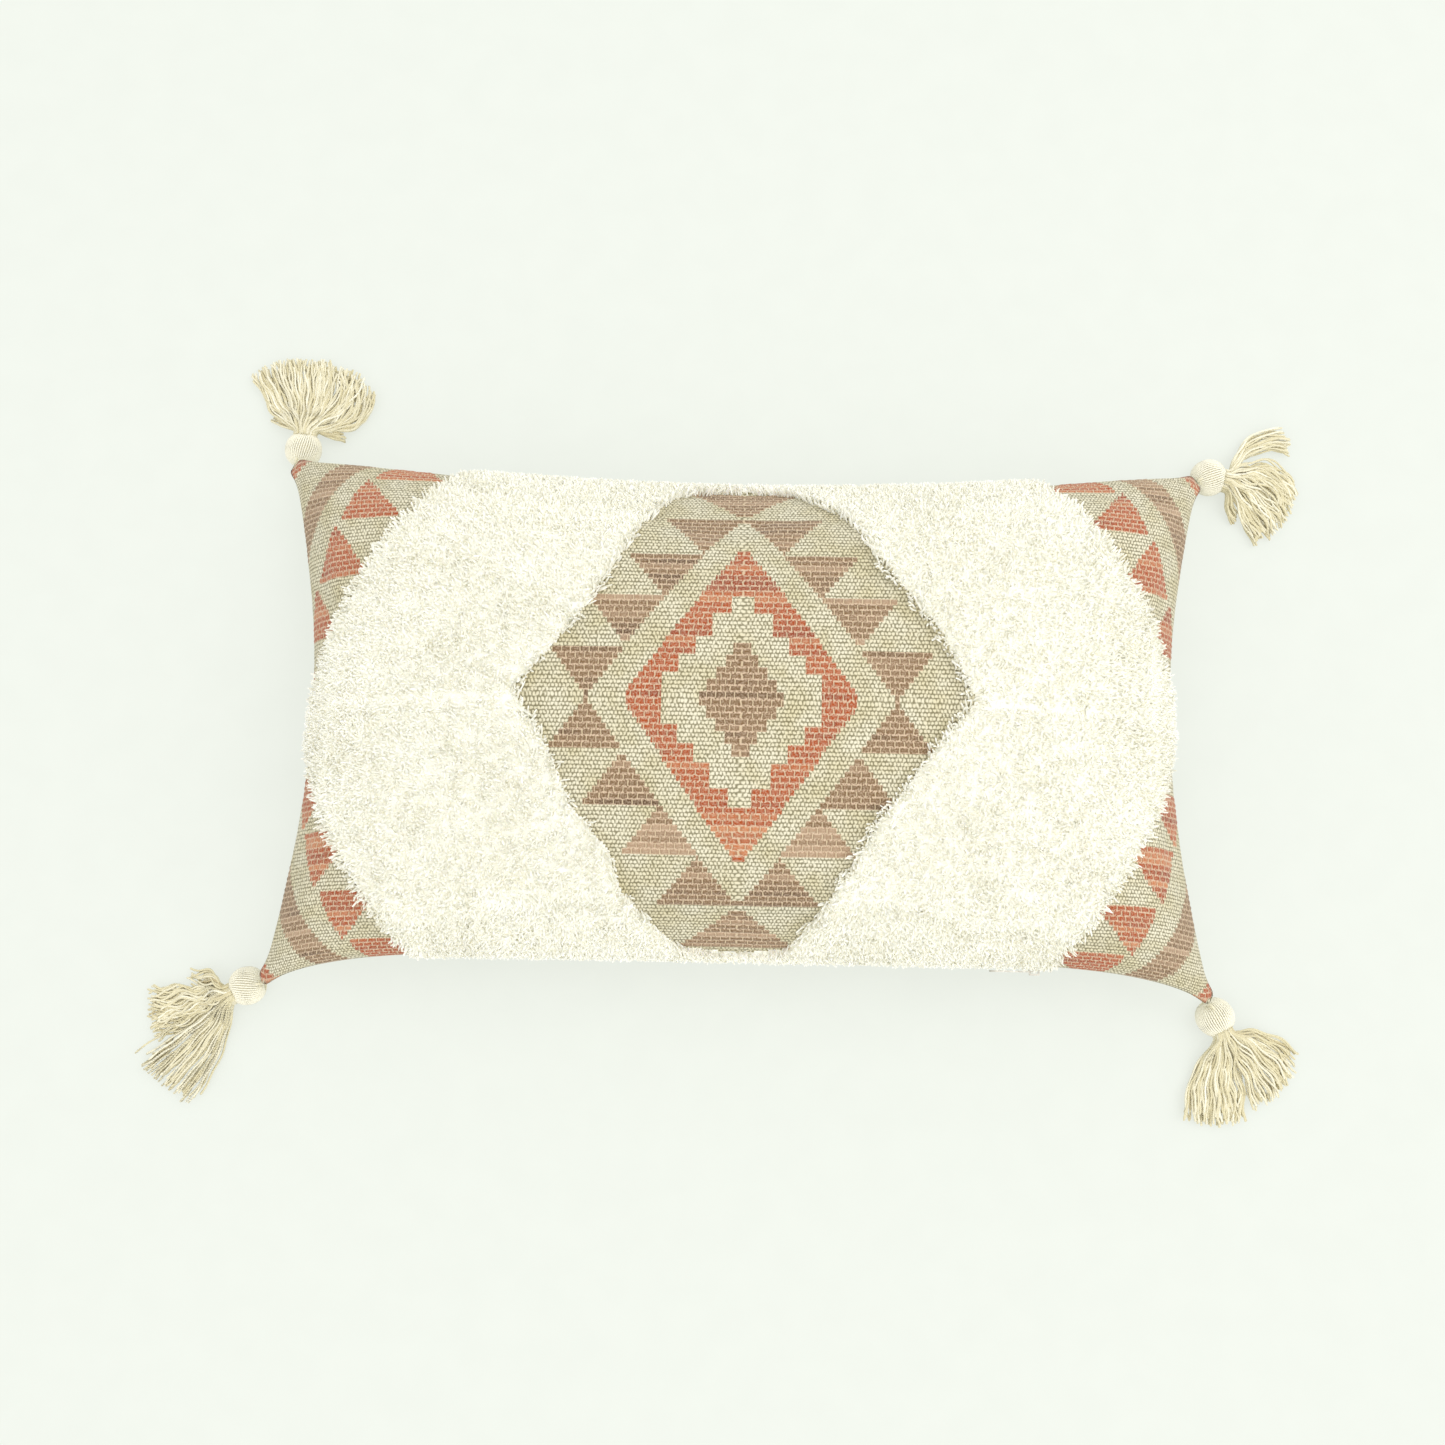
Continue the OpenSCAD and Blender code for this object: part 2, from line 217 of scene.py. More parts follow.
def grid_normals(points):
    along = np.gradient(points, axis=1)
    across = np.gradient(points, axis=0)
    normal = np.cross(along, across)
    return normal / np.maximum(np.linalg.norm(normal, axis=-1, keepdims=True), 1e-9)


def closed_cloth(over, under, step_x=1, step_y=1):
    """Points and faces of a closed cloth between two grids; the under one may be coarser."""
    rows, cols = over.shape[:2]
    outer = np.arange(rows * cols).reshape(rows, cols)
    inner = under[::step_y, ::step_x]
    index = np.arange(inner.shape[0] * inner.shape[1]).reshape(inner.shape[:2]) + rows * cols
    quads = [grid_faces(rows, cols), grid_faces(*inner.shape[:2])[:, ::-1] + rows * cols]
    near = np.empty((rows, cols), int)
    near[:] = index[np.minimum((np.arange(rows) + step_y // 2) // step_y, inner.shape[0] - 1)][
        :, np.minimum((np.arange(cols) + step_x // 2) // step_x, inner.shape[1] - 1)]
    ring, mate = rim_of(outer), rim_of(near)
    after, mate_after = np.roll(ring, -1), np.roll(mate, -1)
    thin = np.stack([after, ring, mate], -1)
    wide = np.stack([after, mate, mate_after], -1)
    tris = np.concatenate([thin, wide[mate != mate_after]])
    points = np.concatenate([over.reshape(-1, 3), inner.reshape(-1, 3)])
    return points, [np.concatenate(quads), tris]


def tubes(paths, radius_a, radius_b, twist, sides, ref):
    """Closed tubes along n paths of m points, with a turning oval section."""
    count, length = paths.shape[:2]
    tangent = np.gradient(paths, axis=1)
    tangent /= np.linalg.norm(tangent, axis=-1, keepdims=True)
    side = np.cross(tangent, np.broadcast_to(ref, (count, 1, 3)))
    side /= np.maximum(np.linalg.norm(side, axis=-1, keepdims=True), 1e-9)
    other = np.cross(tangent, side)
    angle = np.arange(sides) * 2 * math.pi / sides
    ca, sa = np.cos(angle) * radius_a[..., None], np.sin(angle) * radius_b[..., None]
    ct, st = np.cos(twist)[..., None], np.sin(twist)[..., None]
    x, y = ca * ct - sa * st, ca * st + sa * ct
    rings = (paths[:, :, None] + x[..., None] * side[:, :, None]
             + y[..., None] * other[:, :, None])
    ends = np.stack([paths[:, 0] - tangent[:, 0] * radius_a[:, :1] * 0.4,
                     paths[:, -1] + tangent[:, -1] * radius_a[:, -1:] * 0.8], 1)
    points = np.concatenate([rings.reshape(count, -1, 3), ends], 1)
    per = length * sides + 2
    ring = np.arange(length * sides).reshape(length, sides)
    turn = np.roll(ring, -1, axis=1)
    quads = np.stack([ring[:-1], turn[:-1], turn[1:], ring[1:]], -1).reshape(-1, 4)
    tail = np.stack([turn[0], ring[0], np.full(sides, per - 2)], -1)
    tip = np.stack([ring[-1], turn[-1], np.full(sides, per - 1)], -1)
    shift = (np.arange(count) * per)[:, None, None]
    faces = [(quads + shift).reshape(-1, 4),
             (np.concatenate([tail, tip]) + shift).reshape(-1, 3)]
    return points.reshape(-1, 3), faces, per


# ---- Cloth simulation: air pressure on a coarse cover that was cut flat ----

DRIFT_CELLS_S, DRIFT_CELLS_T, DRIFT_STEPS = 84, 50, 18
# Most that the cover may move outward and inward, and the width of the fade at the seams
DRIFT_CAP, DRIFT_IN, DRIFT_FADE = 4.0, 0.8, 14
BLUR_PASSES = 3


def settled_cover():
    """How far the simulated cover stands off the plain surface, in mm, front and back."""
    s, t = np.meshgrid(np.linspace(-CLOTH_S, CLOTH_S, DRIFT_CELLS_S + 1),
                       np.linspace(-CLOTH_T, CLOTH_T, DRIFT_CELLS_T + 1))
    front = front_point(*front_map.uv(s, t))
    back = back_point(*back_map.uv(s, t))
    total = s.size
    index = np.arange(total).reshape(s.shape)
    under = index.copy()
    under[1:-1, 1:-1] = total + np.arange((s.shape[0] - 2) * (s.shape[1] - 2)).reshape(
        s.shape[0] - 2, s.shape[1] - 2)
    start = np.concatenate([front.reshape(-1, 3), back[1:-1, 1:-1].reshape(-1, 3)]) * MM
    flat = np.stack([s, t, 0 * s], -1)
    cut = np.concatenate([flat.reshape(-1, 3), flat[1:-1, 1:-1].reshape(-1, 3)]) * MM
    quads = []
    for grid in (index, under[:, ::-1]):
        quads.append(np.stack([grid[:-1, :-1], grid[:-1, 1:], grid[1:, 1:], grid[1:, :-1]],
                              -1).reshape(-1, 4))
    mesh = bpy.data.meshes.new("coarse_cover")
    mesh.from_pydata(start.tolist(), [], np.concatenate(quads).tolist())
    cover = bpy.data.objects.new("coarse_cover", mesh)
    bpy.context.scene.collection.objects.link(cover)
    cover.shape_key_add(name="filled")
    pattern = cover.shape_key_add(name="cut")
    pattern.data.foreach_set("co", cut.astype(np.float32).ravel())
    modifier = cover.modifiers.new("cloth", "CLOTH")
    cloth = modifier.settings
    cloth.quality = 6
    cloth.mass = 0.1
    cloth.tension_stiffness = 25
    cloth.compression_stiffness = 25
    cloth.shear_stiffness = 8
    cloth.bending_stiffness = 0.3
    cloth.use_pressure = True
    cloth.uniform_pressure_force = 4.0
    cloth.effector_weights.gravity = 0
    cloth.rest_shape_key = pattern
    modifier.collision_settings.use_collision = False
    scene = bpy.context.scene
    for step in range(1, DRIFT_STEPS + 1):
        scene.frame_set(step)
    seen = cover.evaluated_get(bpy.context.evaluated_depsgraph_get())
    moved = np.empty(len(start) * 3, np.float32)
    seen.data.vertices.foreach_get("co", moved)
    drift = (moved.reshape(-1, 3) - start) / MM
    scene.frame_set(1)
    bpy.data.objects.remove(cover)
    bpy.data.meshes.remove(mesh)
    stands = [(drift[index] * grid_normals(front)).sum(-1),
              (drift[under] * -grid_normals(back)).sum(-1)]
    for grid in stands:
        for _ in range(BLUR_PASSES):
            grid[1:-1] = (grid[:-2] + 2 * grid[1:-1] + grid[2:]) / 4
            grid[:, 1:-1] = (grid[:, :-2] + 2 * grid[:, 1:-1] + grid[:, 2:]) / 4
    return [np.clip(DRIFT_CAP * np.tanh(grid / DRIFT_CAP), -DRIFT_IN, None) for grid in stands]


def drift_at(grid, s, t):
    """The settled cover's stand-off at places on the cloth, none at the seams."""
    x = (np.asarray(s) / CLOTH_S + 1) / 2 * DRIFT_CELLS_S
    y = (np.asarray(t) / CLOTH_T + 1) / 2 * DRIFT_CELLS_T
    i, j = (np.clip(y.astype(int), 0, DRIFT_CELLS_T - 1),
            np.clip(x.astype(int), 0, DRIFT_CELLS_S - 1))
    b, a = np.clip(y - i, 0, 1), np.clip(x - j, 0, 1)
    value = ((grid[i, j] * (1 - a) + grid[i, j + 1] * a) * (1 - b)
             + (grid[i + 1, j] * (1 - a) + grid[i + 1, j + 1] * a) * b)
    rim = np.minimum(CLOTH_S - np.abs(s), CLOTH_T - np.abs(t)) / DRIFT_FADE
    fade = np.clip(rim, 0, 1)
    return value * fade * fade * (3 - 2 * fade)


front_drift, back_drift = settled_cover()

# ---- Materials ----


def linear(colour):
    value = np.asarray(colour, float) / 255
    return np.where(value <= 0.04045, value / 12.92, ((value + 0.055) / 1.055) ** 2.4)


def rgba(colour):
    return (*linear(colour), 1.0)


class Shader:
    """Small helper that adds nodes and joins them."""

    def __init__(self, name, roughness=0.9, sheen=0.0, metallic=0.0, specular=0.3):
        self.material = bpy.data.materials.new(name)
        self.material.use_nodes = True
        self.tree = self.material.node_tree
        self.bsdf = self.tree.nodes["Principled BSDF"]
        self.bsdf.inputs["Roughness"].default_value = roughness
        self.bsdf.inputs["Metallic"].default_value = metallic
        self.bsdf.inputs["Specular IOR Level"].default_value = specular
        if sheen:
            self.bsdf.inputs["Sheen Weight"].default_value = sheen
            self.bsdf.inputs["Sheen Roughness"].default_value = 0.6

    def join(self, value, socket):
        if isinstance(value, bpy.types.NodeSocket):
            self.tree.links.new(value, socket)
        else:
            socket.default_value = value

    def attribute(self, label, output="Vector"):
        node = self.tree.nodes.new("ShaderNodeAttribute")
        node.attribute_name = label
        return node.outputs[output]

    def math(self, operation, *values):
        node = self.tree.nodes.new("ShaderNodeMath")
        node.operation = operation
        for value, socket in zip(values, node.inputs):
            self.join(value, socket)
        return node.outputs[0]

    def split(self, vector):
        node = self.tree.nodes.new("ShaderNodeSeparateXYZ")
        self.join(vector, node.inputs[0])
        return node.outputs

    def combine(self, x, y, z=0.0):
        node = self.tree.nodes.new("ShaderNodeCombineXYZ")
        for value, socket in zip((x, y, z), node.inputs):
            self.join(value, socket)
        return node.outputs[0]

    def mix(self, factor, a, b, blend="MIX"):
        node = self.tree.nodes.new("ShaderNodeMix")
        node.data_type = "RGBA"
        node.blend_type = blend
        self.join(factor, node.inputs[0])
        self.join(a, node.inputs[6])
        self.join(b, node.inputs[7])
        return node.outputs[2]

    def smooth(self, value, low, high):
        node = self.tree.nodes.new("ShaderNodeMapRange")
        node.interpolation_type = "SMOOTHSTEP"
        self.join(value, node.inputs[0])
        node.inputs[1].default_value = low
        node.inputs[2].default_value = high
        return node.outputs[0]

    def noise(self, vector, scale, detail=2.0, output="Fac"):
        node = self.tree.nodes.new("ShaderNodeTexNoise")
        self.join(vector, node.inputs["Vector"])
        node.inputs["Scale"].default_value = scale
        node.inputs["Detail"].default_value = detail
        return node.outputs[output]

    def position(self):
        return self.tree.nodes.new("ShaderNodeTexCoord").outputs["Object"]

    def bump(self, height, distance, strength=1.0):
        node = self.tree.nodes.new("ShaderNodeBump")
        node.inputs["Strength"].default_value = strength
        node.inputs["Distance"].default_value = distance
        self.join(height, node.inputs["Height"])
        self.tree.links.new(node.outputs[0], self.bsdf.inputs["Normal"])

    def colour(self, value):
        self.join(value, self.bsdf.inputs["Base Color"])


CELL, PICK = 595.0 / 108, 357.0 / 99

# The ground's dark colour is partly its darker yarn dots and partly painted shade between the
# small lumps
WEAVE_LIGHT, WEAVE_DARK_AND_PAINTED_SHADE = (219, 213, 190), (132, 126, 100)
TIE = (210, 190, 158)


def cover_material(name, patterned):
    """Woven cotton: tinted floats tied by pale yarns over a fine basket ground."""
    shader = Shader(name, roughness=0.92, sheen=0.15, specular=0.2)
    s, t, _ = shader.split(shader.attribute("cloth"))
    wobble = shader.noise(shader.combine(s, t), 0.35, 1.0)
    wobble = shader.math("MULTIPLY", shader.math("SUBTRACT", wobble, 0.5), 1.3)
    ws = shader.math("ADD", s, wobble)
    row = shader.math("DIVIDE", t, PICK)
    odd = shader.math("MULTIPLY", shader.math("FLOORED_MODULO", shader.math("FLOOR", row), 2.0),
                      0.5)
    across = shader.math("FRACT", shader.math("ADD", shader.math("DIVIDE", ws, CELL), odd))
    along = shader.math("FRACT", row)
    # Fine ground: two and a half small cells to a pattern cell, three rows to two picks
    fine_row = shader.math("MULTIPLY", row, 1.5)
    fine_odd = shader.math("MULTIPLY",
                           shader.math("FLOORED_MODULO", shader.math("FLOOR", fine_row), 2.0), 0.5)
    fine_x = shader.math("FRACT", shader.math(
        "ADD", shader.math("DIVIDE", ws, CELL / 2.5), fine_odd))
    fine_y = shader.math("FRACT", fine_row)
    lump = shader.math("MULTIPLY", shader.math("SINE", shader.math("MULTIPLY", fine_x, math.pi)),
                       shader.math("SINE", shader.math("MULTIPLY", fine_y, math.pi)))
    grain = shader.noise(shader.combine(s, t), 0.9, 3.0)
    patches = shader.noise(shader.combine(s, t), 0.05, 2.0)
    speckle = shader.noise(shader.combine(s, t), 0.55, 1.0)
    # The ground is lighter on each small lump's crown, a painted highlight, and darker between the
    # lumps, partly its darker yarn and partly painted shade; the speckle is the yarn's own
    ground_speckle_and_painted_shade = shader.math("ADD", shader.math("MULTIPLY", lump, 0.75), shader.math(
        "MULTIPLY", shader.math("SUBTRACT", speckle, 0.42), 1.3))
    ground = shader.mix(shader.smooth(ground_speckle_and_painted_shade, 0.05, 0.7), rgba(WEAVE_DARK_AND_PAINTED_SHADE),
                        rgba(WEAVE_LIGHT))
    ground = shader.mix(shader.smooth(patches, 0.3, 0.75), ground, rgba((240, 236, 220)),
                        "MULTIPLY")
    if not patterned:
        shader.colour(ground)
        shader.bump(ground_speckle_and_painted_shade, 0.0005, 0.7)
        return shader.material
    yarn = shader.attribute("yarn", "Color")
    figured = shader.attribute("yarn", "Alpha")
    # Vertical ties at the joints of the bricks, and a thin pale line between rows
    near_tie = shader.math("ABSOLUTE", shader.math("SUBTRACT", across, 0.5))
    tie = shader.math("SUBTRACT", 1.0, shader.smooth(near_tie, 0.035, 0.09))
    near_row = shader.math("ABSOLUTE", shader.math("SUBTRACT", along, 0.5))
    tie = shader.math("MULTIPLY", tie, shader.math(
        "SUBTRACT", 1.0, shader.smooth(near_row, 0.38, 0.47)))
    line = shader.math("MULTIPLY", shader.smooth(near_row, 0.24, 0.42),
                       shader.smooth(grain, 0.34, 0.6))
    streak = shader.noise(shader.combine(shader.math("MULTIPLY", s, 0.35),
                                         shader.math("MULTIPLY", t, 2.4)), 1.0, 2.0)
    dyed = shader.mix(shader.smooth(streak, 0.3, 0.75), yarn, rgba((250, 230, 212)), "MULTIPLY")
    dyed = shader.mix(shader.math("MULTIPLY", shader.smooth(grain, 0.35, 0.72), 0.45),
                      dyed, rgba((200, 180, 156)))
    # Painted shade at the float ends beside each tie, where they dip into the cloth
    tie_painted_shade = shader.math("SUBTRACT", 1.0, shader.smooth(near_tie, 0.1, 0.26))
    tie_painted_shade = shader.math("MULTIPLY", tie_painted_shade, shader.smooth(grain, 0.3, 0.6))
    dyed = shader.mix(shader.math("MULTIPLY", tie_painted_shade, 0.6), dyed, rgba((186, 170, 150)),
                      "MULTIPLY")
    dyed = shader.mix(shader.math("MULTIPLY", line, 0.85), dyed, rgba((206, 182, 156)))
    dyed = shader.mix(shader.math("MULTIPLY", tie, 0.75), dyed, rgba(TIE))
    shader.colour(shader.mix(figured, ground, dyed))
    raised = shader.math("MULTIPLY", shader.math("SUBTRACT", 0.5, near_row), 2.0)
    raised = shader.math("SUBTRACT", raised, shader.math("MULTIPLY", tie, 0.5))
    pattern_height = shader.math("ADD", raised, shader.math("MULTIPLY", grain, 0.5))
    height = shader.math("ADD", shader.math("MULTIPLY", pattern_height, figured),
                         shader.math("MULTIPLY", ground_speckle_and_painted_shade,
                                     shader.math("SUBTRACT", 1.0, figured)))
    shader.bump(height, 0.0006, 0.7)
    return shader.material


def strand_material(name, shadow, body, light, roughness=0.85, ply=0.0, fleck=0.35, glow=0.0):
    """Cotton yarn with a tint for each strand and fine fibres."""
    shader = Shader(name, roughness=roughness, sheen=0.25, specular=0.25)
    tint = shader.attribute("tint", "Fac")
    colour = shader.mix(shader.smooth(tint, 0.0, 0.5), rgba(shadow), rgba(body))
    colour = shader.mix(shader.smooth(tint, 0.5, 1.0), colour, rgba(light))
    grain = shader.noise(shader.position(), 2200.0, 2.0)
    colour = shader.mix(shader.math("MULTIPLY", shader.smooth(grain, 0.3, 0.7), fleck), colour,
                        rgba((214, 208, 184)), "MULTIPLY")
    shader.colour(colour)
    if glow:
        shader.bsdf.inputs["Subsurface Weight"].default_value = glow
        shader.bsdf.inputs["Subsurface Radius"].default_value = (1.0, 0.9, 0.7)
        shader.bsdf.inputs["Subsurface Scale"].default_value = 0.003
    height = grain
    if ply:
        turns = shader.attribute("ply", "Fac")
        height = shader.math("ADD", shader.math("MULTIPLY", grain, 0.3),
                             shader.math("SINE", shader.math("MULTIPLY", turns, ply)))
    shader.bump(height, 0.0003, 0.6)
    return shader.material


def cloth_material(name, light, dark, thread=0.45, roughness=0.9):
    """Plain fine cloth with threads both ways, by position."""
    shader = Shader(name, roughness=roughness, sheen=0.15, specular=0.2)
    x, y, z = shader.split(shader.position())
    scale = math.pi / (thread * MM)
    warp = shader.math("ABSOLUTE", shader.math("SINE", shader.math("MULTIPLY", x, scale)))
    both = shader.math("ADD", y, z)
    weft = shader.math("ABSOLUTE", shader.math("SINE", shader.math("MULTIPLY", both, scale)))
    weave = shader.math("MULTIPLY", warp, weft)
    slub = shader.noise(shader.position(), 900.0, 3.0)
    factor = shader.math("ADD", shader.math("MULTIPLY", weave, 0.5),
                         shader.math("MULTIPLY", slub, 0.5))
    shader.colour(shader.mix(shader.smooth(factor, 0.2, 0.75), rgba(dark), rgba(light)))
    shader.bump(factor, 0.0002, 0.5)
    return shader.material


def metal_material(name):
    shader = Shader(name, roughness=0.32, metallic=1.0, specular=0.5)
    x, y, z = shader.split(shader.position())
    brush = shader.noise(shader.combine(shader.math("MULTIPLY", x, 300.0),
                                        shader.math("MULTIPLY", y, 6000.0),
                                        shader.math("MULTIPLY", z, 6000.0)), 1.0, 3.0)
    wear = shader.noise(shader.position(), 350.0, 3.0)
    colour = shader.mix(shader.smooth(brush, 0.3, 0.7), rgba((176, 172, 162)),
                        rgba((214, 210, 200)))
    shader.colour(shader.mix(shader.smooth(wear, 0.55, 0.8), colour, rgba((150, 142, 126))))
    rough = shader.math("ADD", 0.24, shader.math("MULTIPLY", wear, 0.25))
    shader.join(rough, shader.bsdf.inputs["Roughness"])
    shader.bump(brush, 0.0001, 0.3)
    return shader.material


front_cloth = cover_material("cover_front_weave", True)
back_cloth = cover_material("cover_back_weave", False)
pile_yarn = strand_material("pile_yarn", (228, 226, 210), (246, 245, 236), (252, 252, 247),
                            fleck=0.2, glow=0.3)
tassel_yarn = strand_material("tassel_yarn", (188, 174, 134), (214, 206, 172), (240, 237, 220),
                              ply=1.0)
casing_cloth = cloth_material("insert_cloth", (246, 246, 242), (222, 222, 216), 0.35)
tape_cloth = cloth_material("zip_tape_cloth", (232, 222, 198), (190, 178, 150), 0.5)
label_cloth = cloth_material("label_satin", (250, 250, 248), (232, 232, 228), 0.2, 0.5)
fibre = strand_material("filling_fibre", (236, 236, 234), (247, 247, 246), (252, 252, 252))
metal = metal_material("zip_metal")


def coil_material():
    shader = Shader("zip_coil_nylon", roughness=0.38, specular=0.5)
    fibre_noise = shader.noise(shader.position(), 1500.0, 2.0)
    shader.colour(shader.mix(shader.smooth(fibre_noise, 0.3, 0.7), rgba((214, 203, 176)),
                             rgba((236, 228, 206))))
    shader.bump(fibre_noise, 0.0001, 0.3)
    return shader.material


coil_nylon = coil_material()

# ---- Front panel: woven figure ----

RUST, BROWN, CREAM = 1, 2, 0


def stepped(t, steps):
    """Half-width of a figure at height t, from (height, half-width) steps."""
    width = np.full(np.shape(t), -1.0)
    for height, half in reversed(steps):
        width = np.where(np.abs(t) < height, half, width)
    return width


CROSS = [(14, 46), (26, 36), (37.5, 26), (49, 16), (61, 5)]
EYE = [(5, 24), (12, 19), (19, 14), (25, 8), (31, 4)]
DIAMOND = (68.0, 95.0)
CHAIN_STEP, CHAIN_RISE, CHAIN_HALF = 22.4, 30.3, 23.0


def figure_at(s, t):
    """Class of yarn on the front panel's cloth: cream ground, rust or brown."""
    out = np.zeros(np.shape(s), int)
    away_s, away_t = np.abs(s), np.abs(t)
    # Triangle chains between the diamond and the window's edge
    for k in range(0, 5):
        base = CHAIN_RISE * (5 - k) if k else 159.0
        depth = 30.5 if k else 36.0
        half = CHAIN_HALF if k else 34.0
        rise = (away_t - (base - depth)) / depth
        inside = (rise > 0.04) & (away_t < base)
        row_half = half * rise
        out = np.where(inside & (np.abs(away_s - CHAIN_STEP * k) < row_half), BROWN, out)
    diamond = away_s / DIAMOND[0] + away_t / DIAMOND[1] < 1
    out = np.where(diamond, RUST, out)
    out = np.where(away_s < stepped(t, CROSS), CREAM, out)
    out = np.where(away_s < stepped(t, EYE), BROWN, out)
    # Corners, by the distance in from each side and from each long edge
    ds, dt = CLOTH_S - away_s, CLOTH_T - away_t
    out = np.where(ds / 17 + dt / 14 < 1, RUST, out)
    outer = ds / 47 + dt / 56 > 1
    inner = ds / 68 + dt / 88 < 1
    out = np.where(outer & inner & (ds < 66) & (dt < 84), BROWN, out)
    for j in range(-1, 6):
        tip_s, tip_t = 87 - 23 * j, -14 + 38 * j
        down = (dt - tip_t) / 36
        inside = (down > 0.03) & (down < 1)
        row_half = 22 * down
        out = np.where(inside & (np.abs(ds - tip_s - 3 * down) < row_half), RUST, out)
    return out


def yarn_colours(s, t, kind):
    """Colour of each float: the dyed rows differ, and some carry more of the pale yarn."""
    row = np.floor(t / PICK + 0.001).astype(int)
    rows = np.random.default_rng(11).random((400, 4))[row + 200]
    drift = noise_field(26, 12)(s, t)
    pale = np.clip((rows[..., 0] + drift * 0.2 - 0.68) * 2.2, 0, 0.75)
    deep = np.clip((rows[..., 1] * 0.7 + noise_field(14, 13)(s, t) * 0.5 - 0.72) * 3, 0, 1)
    rust, rust_pale, rust_deep = linear((156, 66, 8)), linear((192, 132, 90)), linear(
        (124, 42, 6))
    brown, brown_pale, brown_deep = linear((116, 93, 64)), linear((174, 152, 128)), linear(
        (76, 55, 34))
    is_rust = (kind == RUST)[..., None]
    base = np.where(is_rust, rust, brown)
    light = np.where(is_rust, rust_pale, brown_pale)
    dark = np.where(is_rust, rust_deep, brown_deep)
    colour = base + (light - base) * pale[..., None]
    colour = colour + (dark - colour) * (deep * (1 - pale))[..., None] * 0.8
    return colour


def brick_centres(s, t):
    """Centre of the woven brick that holds each place."""
    row = np.floor(t / PICK)
    offset = 0.5 * (row % 2)
    col = np.floor(s / CELL + offset)
    return (col + 0.5 - offset) * CELL, (row + 0.5) * PICK


FINE_X, FINE_Y = 4, 2
cols, rows = 108 * FINE_X, 99 * FINE_Y
grid_s, grid_t = np.meshgrid(np.linspace(-CLOTH_S, CLOTH_S, cols + 1),
                             np.linspace(-CLOTH_T, CLOTH_T, rows + 1))


def panel_surface(s, t, inset=0.0):
    """The front panel's outer face, or a face at some depth under it."""
    u, v = front_map.uv(s, t)
    place = front_point(u, v, inset, inset, inset)
    place[..., 2] += drift_at(front_drift, s, t)
    return round_tips(place)


front_surface = panel_surface(grid_s, grid_t)
front_normal = grid_normals(front_surface)

# ---- Outlines of the tufted field and its window ----

WINDOW = np.array([(-131, 3), (-107, 30), (-88, 56), (-69, 92), (-52, 130), (-33, 154), (0, 159),
                   (30, 154), (60, 121), (74, 92), (93, 65), (114, 37), (133, 1), (114, -20),
                   (94, -46), (76, -70), (54, -110), (27, -158), (0, -164), (-31, -158),
                   (-65, -114), (-73, -88), (-97, -60), (-110, -28)], float)
FIELD_X, FIELD_Y, FIELD_POWER = 262.0, 268.0, 1.5


def signed_distance(s, t, loop):
    """Distance to a closed outline on the cloth, negative inside it."""
    best = np.full(s.shape, 1e9)
    inside = np.zeros(s.shape, bool)
    for (ax, ay), (bx, by) in zip(loop, np.roll(loop, -1, axis=0)):
        dx, dy = bx - ax, by - ay
        along = np.clip(((s - ax) * dx + (t - ay) * dy) / (dx * dx + dy * dy), 0, 1)
        best = np.minimum(best, np.hypot(s - ax - along * dx, t - ay - along * dy))
        crosses = (ay > t) != (by > t)
        with np.errstate(divide="ignore", invalid="ignore"):
            inside ^= crosses & (s < ax + (t - ay) * dx / dy)
    return np.where(inside, -best, best)


def field_gap(place):
    """Distance inside the oval outline of the tufted field, seen from above."""
    x, y = place[..., 0], place[..., 1] + 6 - 0.026 * place[..., 0]
    level = (np.abs(x / FIELD_X) ** FIELD_POWER + np.abs(y / FIELD_Y) ** FIELD_POWER)
    return (1 - level) / FIELD_POWER * FIELD_X


def mound(s, t, place):
    """Height of the felted foot of the pile above the cloth, in mm."""
    gap = np.minimum(field_gap(place), signed_distance(s, t, WINDOW))
    gap = np.minimum(gap, np.minimum(CLOTH_S - np.abs(s), CLOTH_T - np.abs(t)))
    rise = np.clip((gap - 1) / 5, 0, 1)
    return PILE_FOOT * rise * rise * (3 - 2 * rise)


# Relief: floats stand up between their ties; the basket ground is finer and lower
row_phase = np.abs((grid_t / PICK) % 1 - 0.5) * 2
brick_row = np.floor(grid_t / PICK - 1e-6)
brick_phase = np.abs((grid_s / CELL + 0.5 * (brick_row % 2)) % 1 - 0.5) * 2
figured = figure_at(grid_s, (np.floor((grid_t - 1e-3) / PICK) + 0.5) * PICK) > 0
lump = (1 - row_phase) * np.where(figured, 0.4 + 0.6 * brick_phase, 0.5)
lump = lump * np.where(figured, 0.55, 0.3) + rng.normal(0, 0.05, lump.shape)
edge_fade = np.clip(np.minimum(CLOTH_S - np.abs(grid_s), CLOTH_T - np.abs(grid_t)) / 6, 0, 1)
puckers = noise_field(9, 21)(grid_s, grid_t) + noise_field(24, 22)(grid_s, grid_t) - 1
mat_height = mound(grid_s, grid_t, front_surface)
bumps = (lump + 0.5 * puckers) * edge_fade * np.where(mat_height > 0, 0.3, 1.0) + mat_height
outer = front_surface + front_normal * bumps[..., None]
inner = panel_surface(grid_s, grid_t, CLOTH)
points, faces = closed_cloth(outer, inner, FINE_X, FINE_Y)

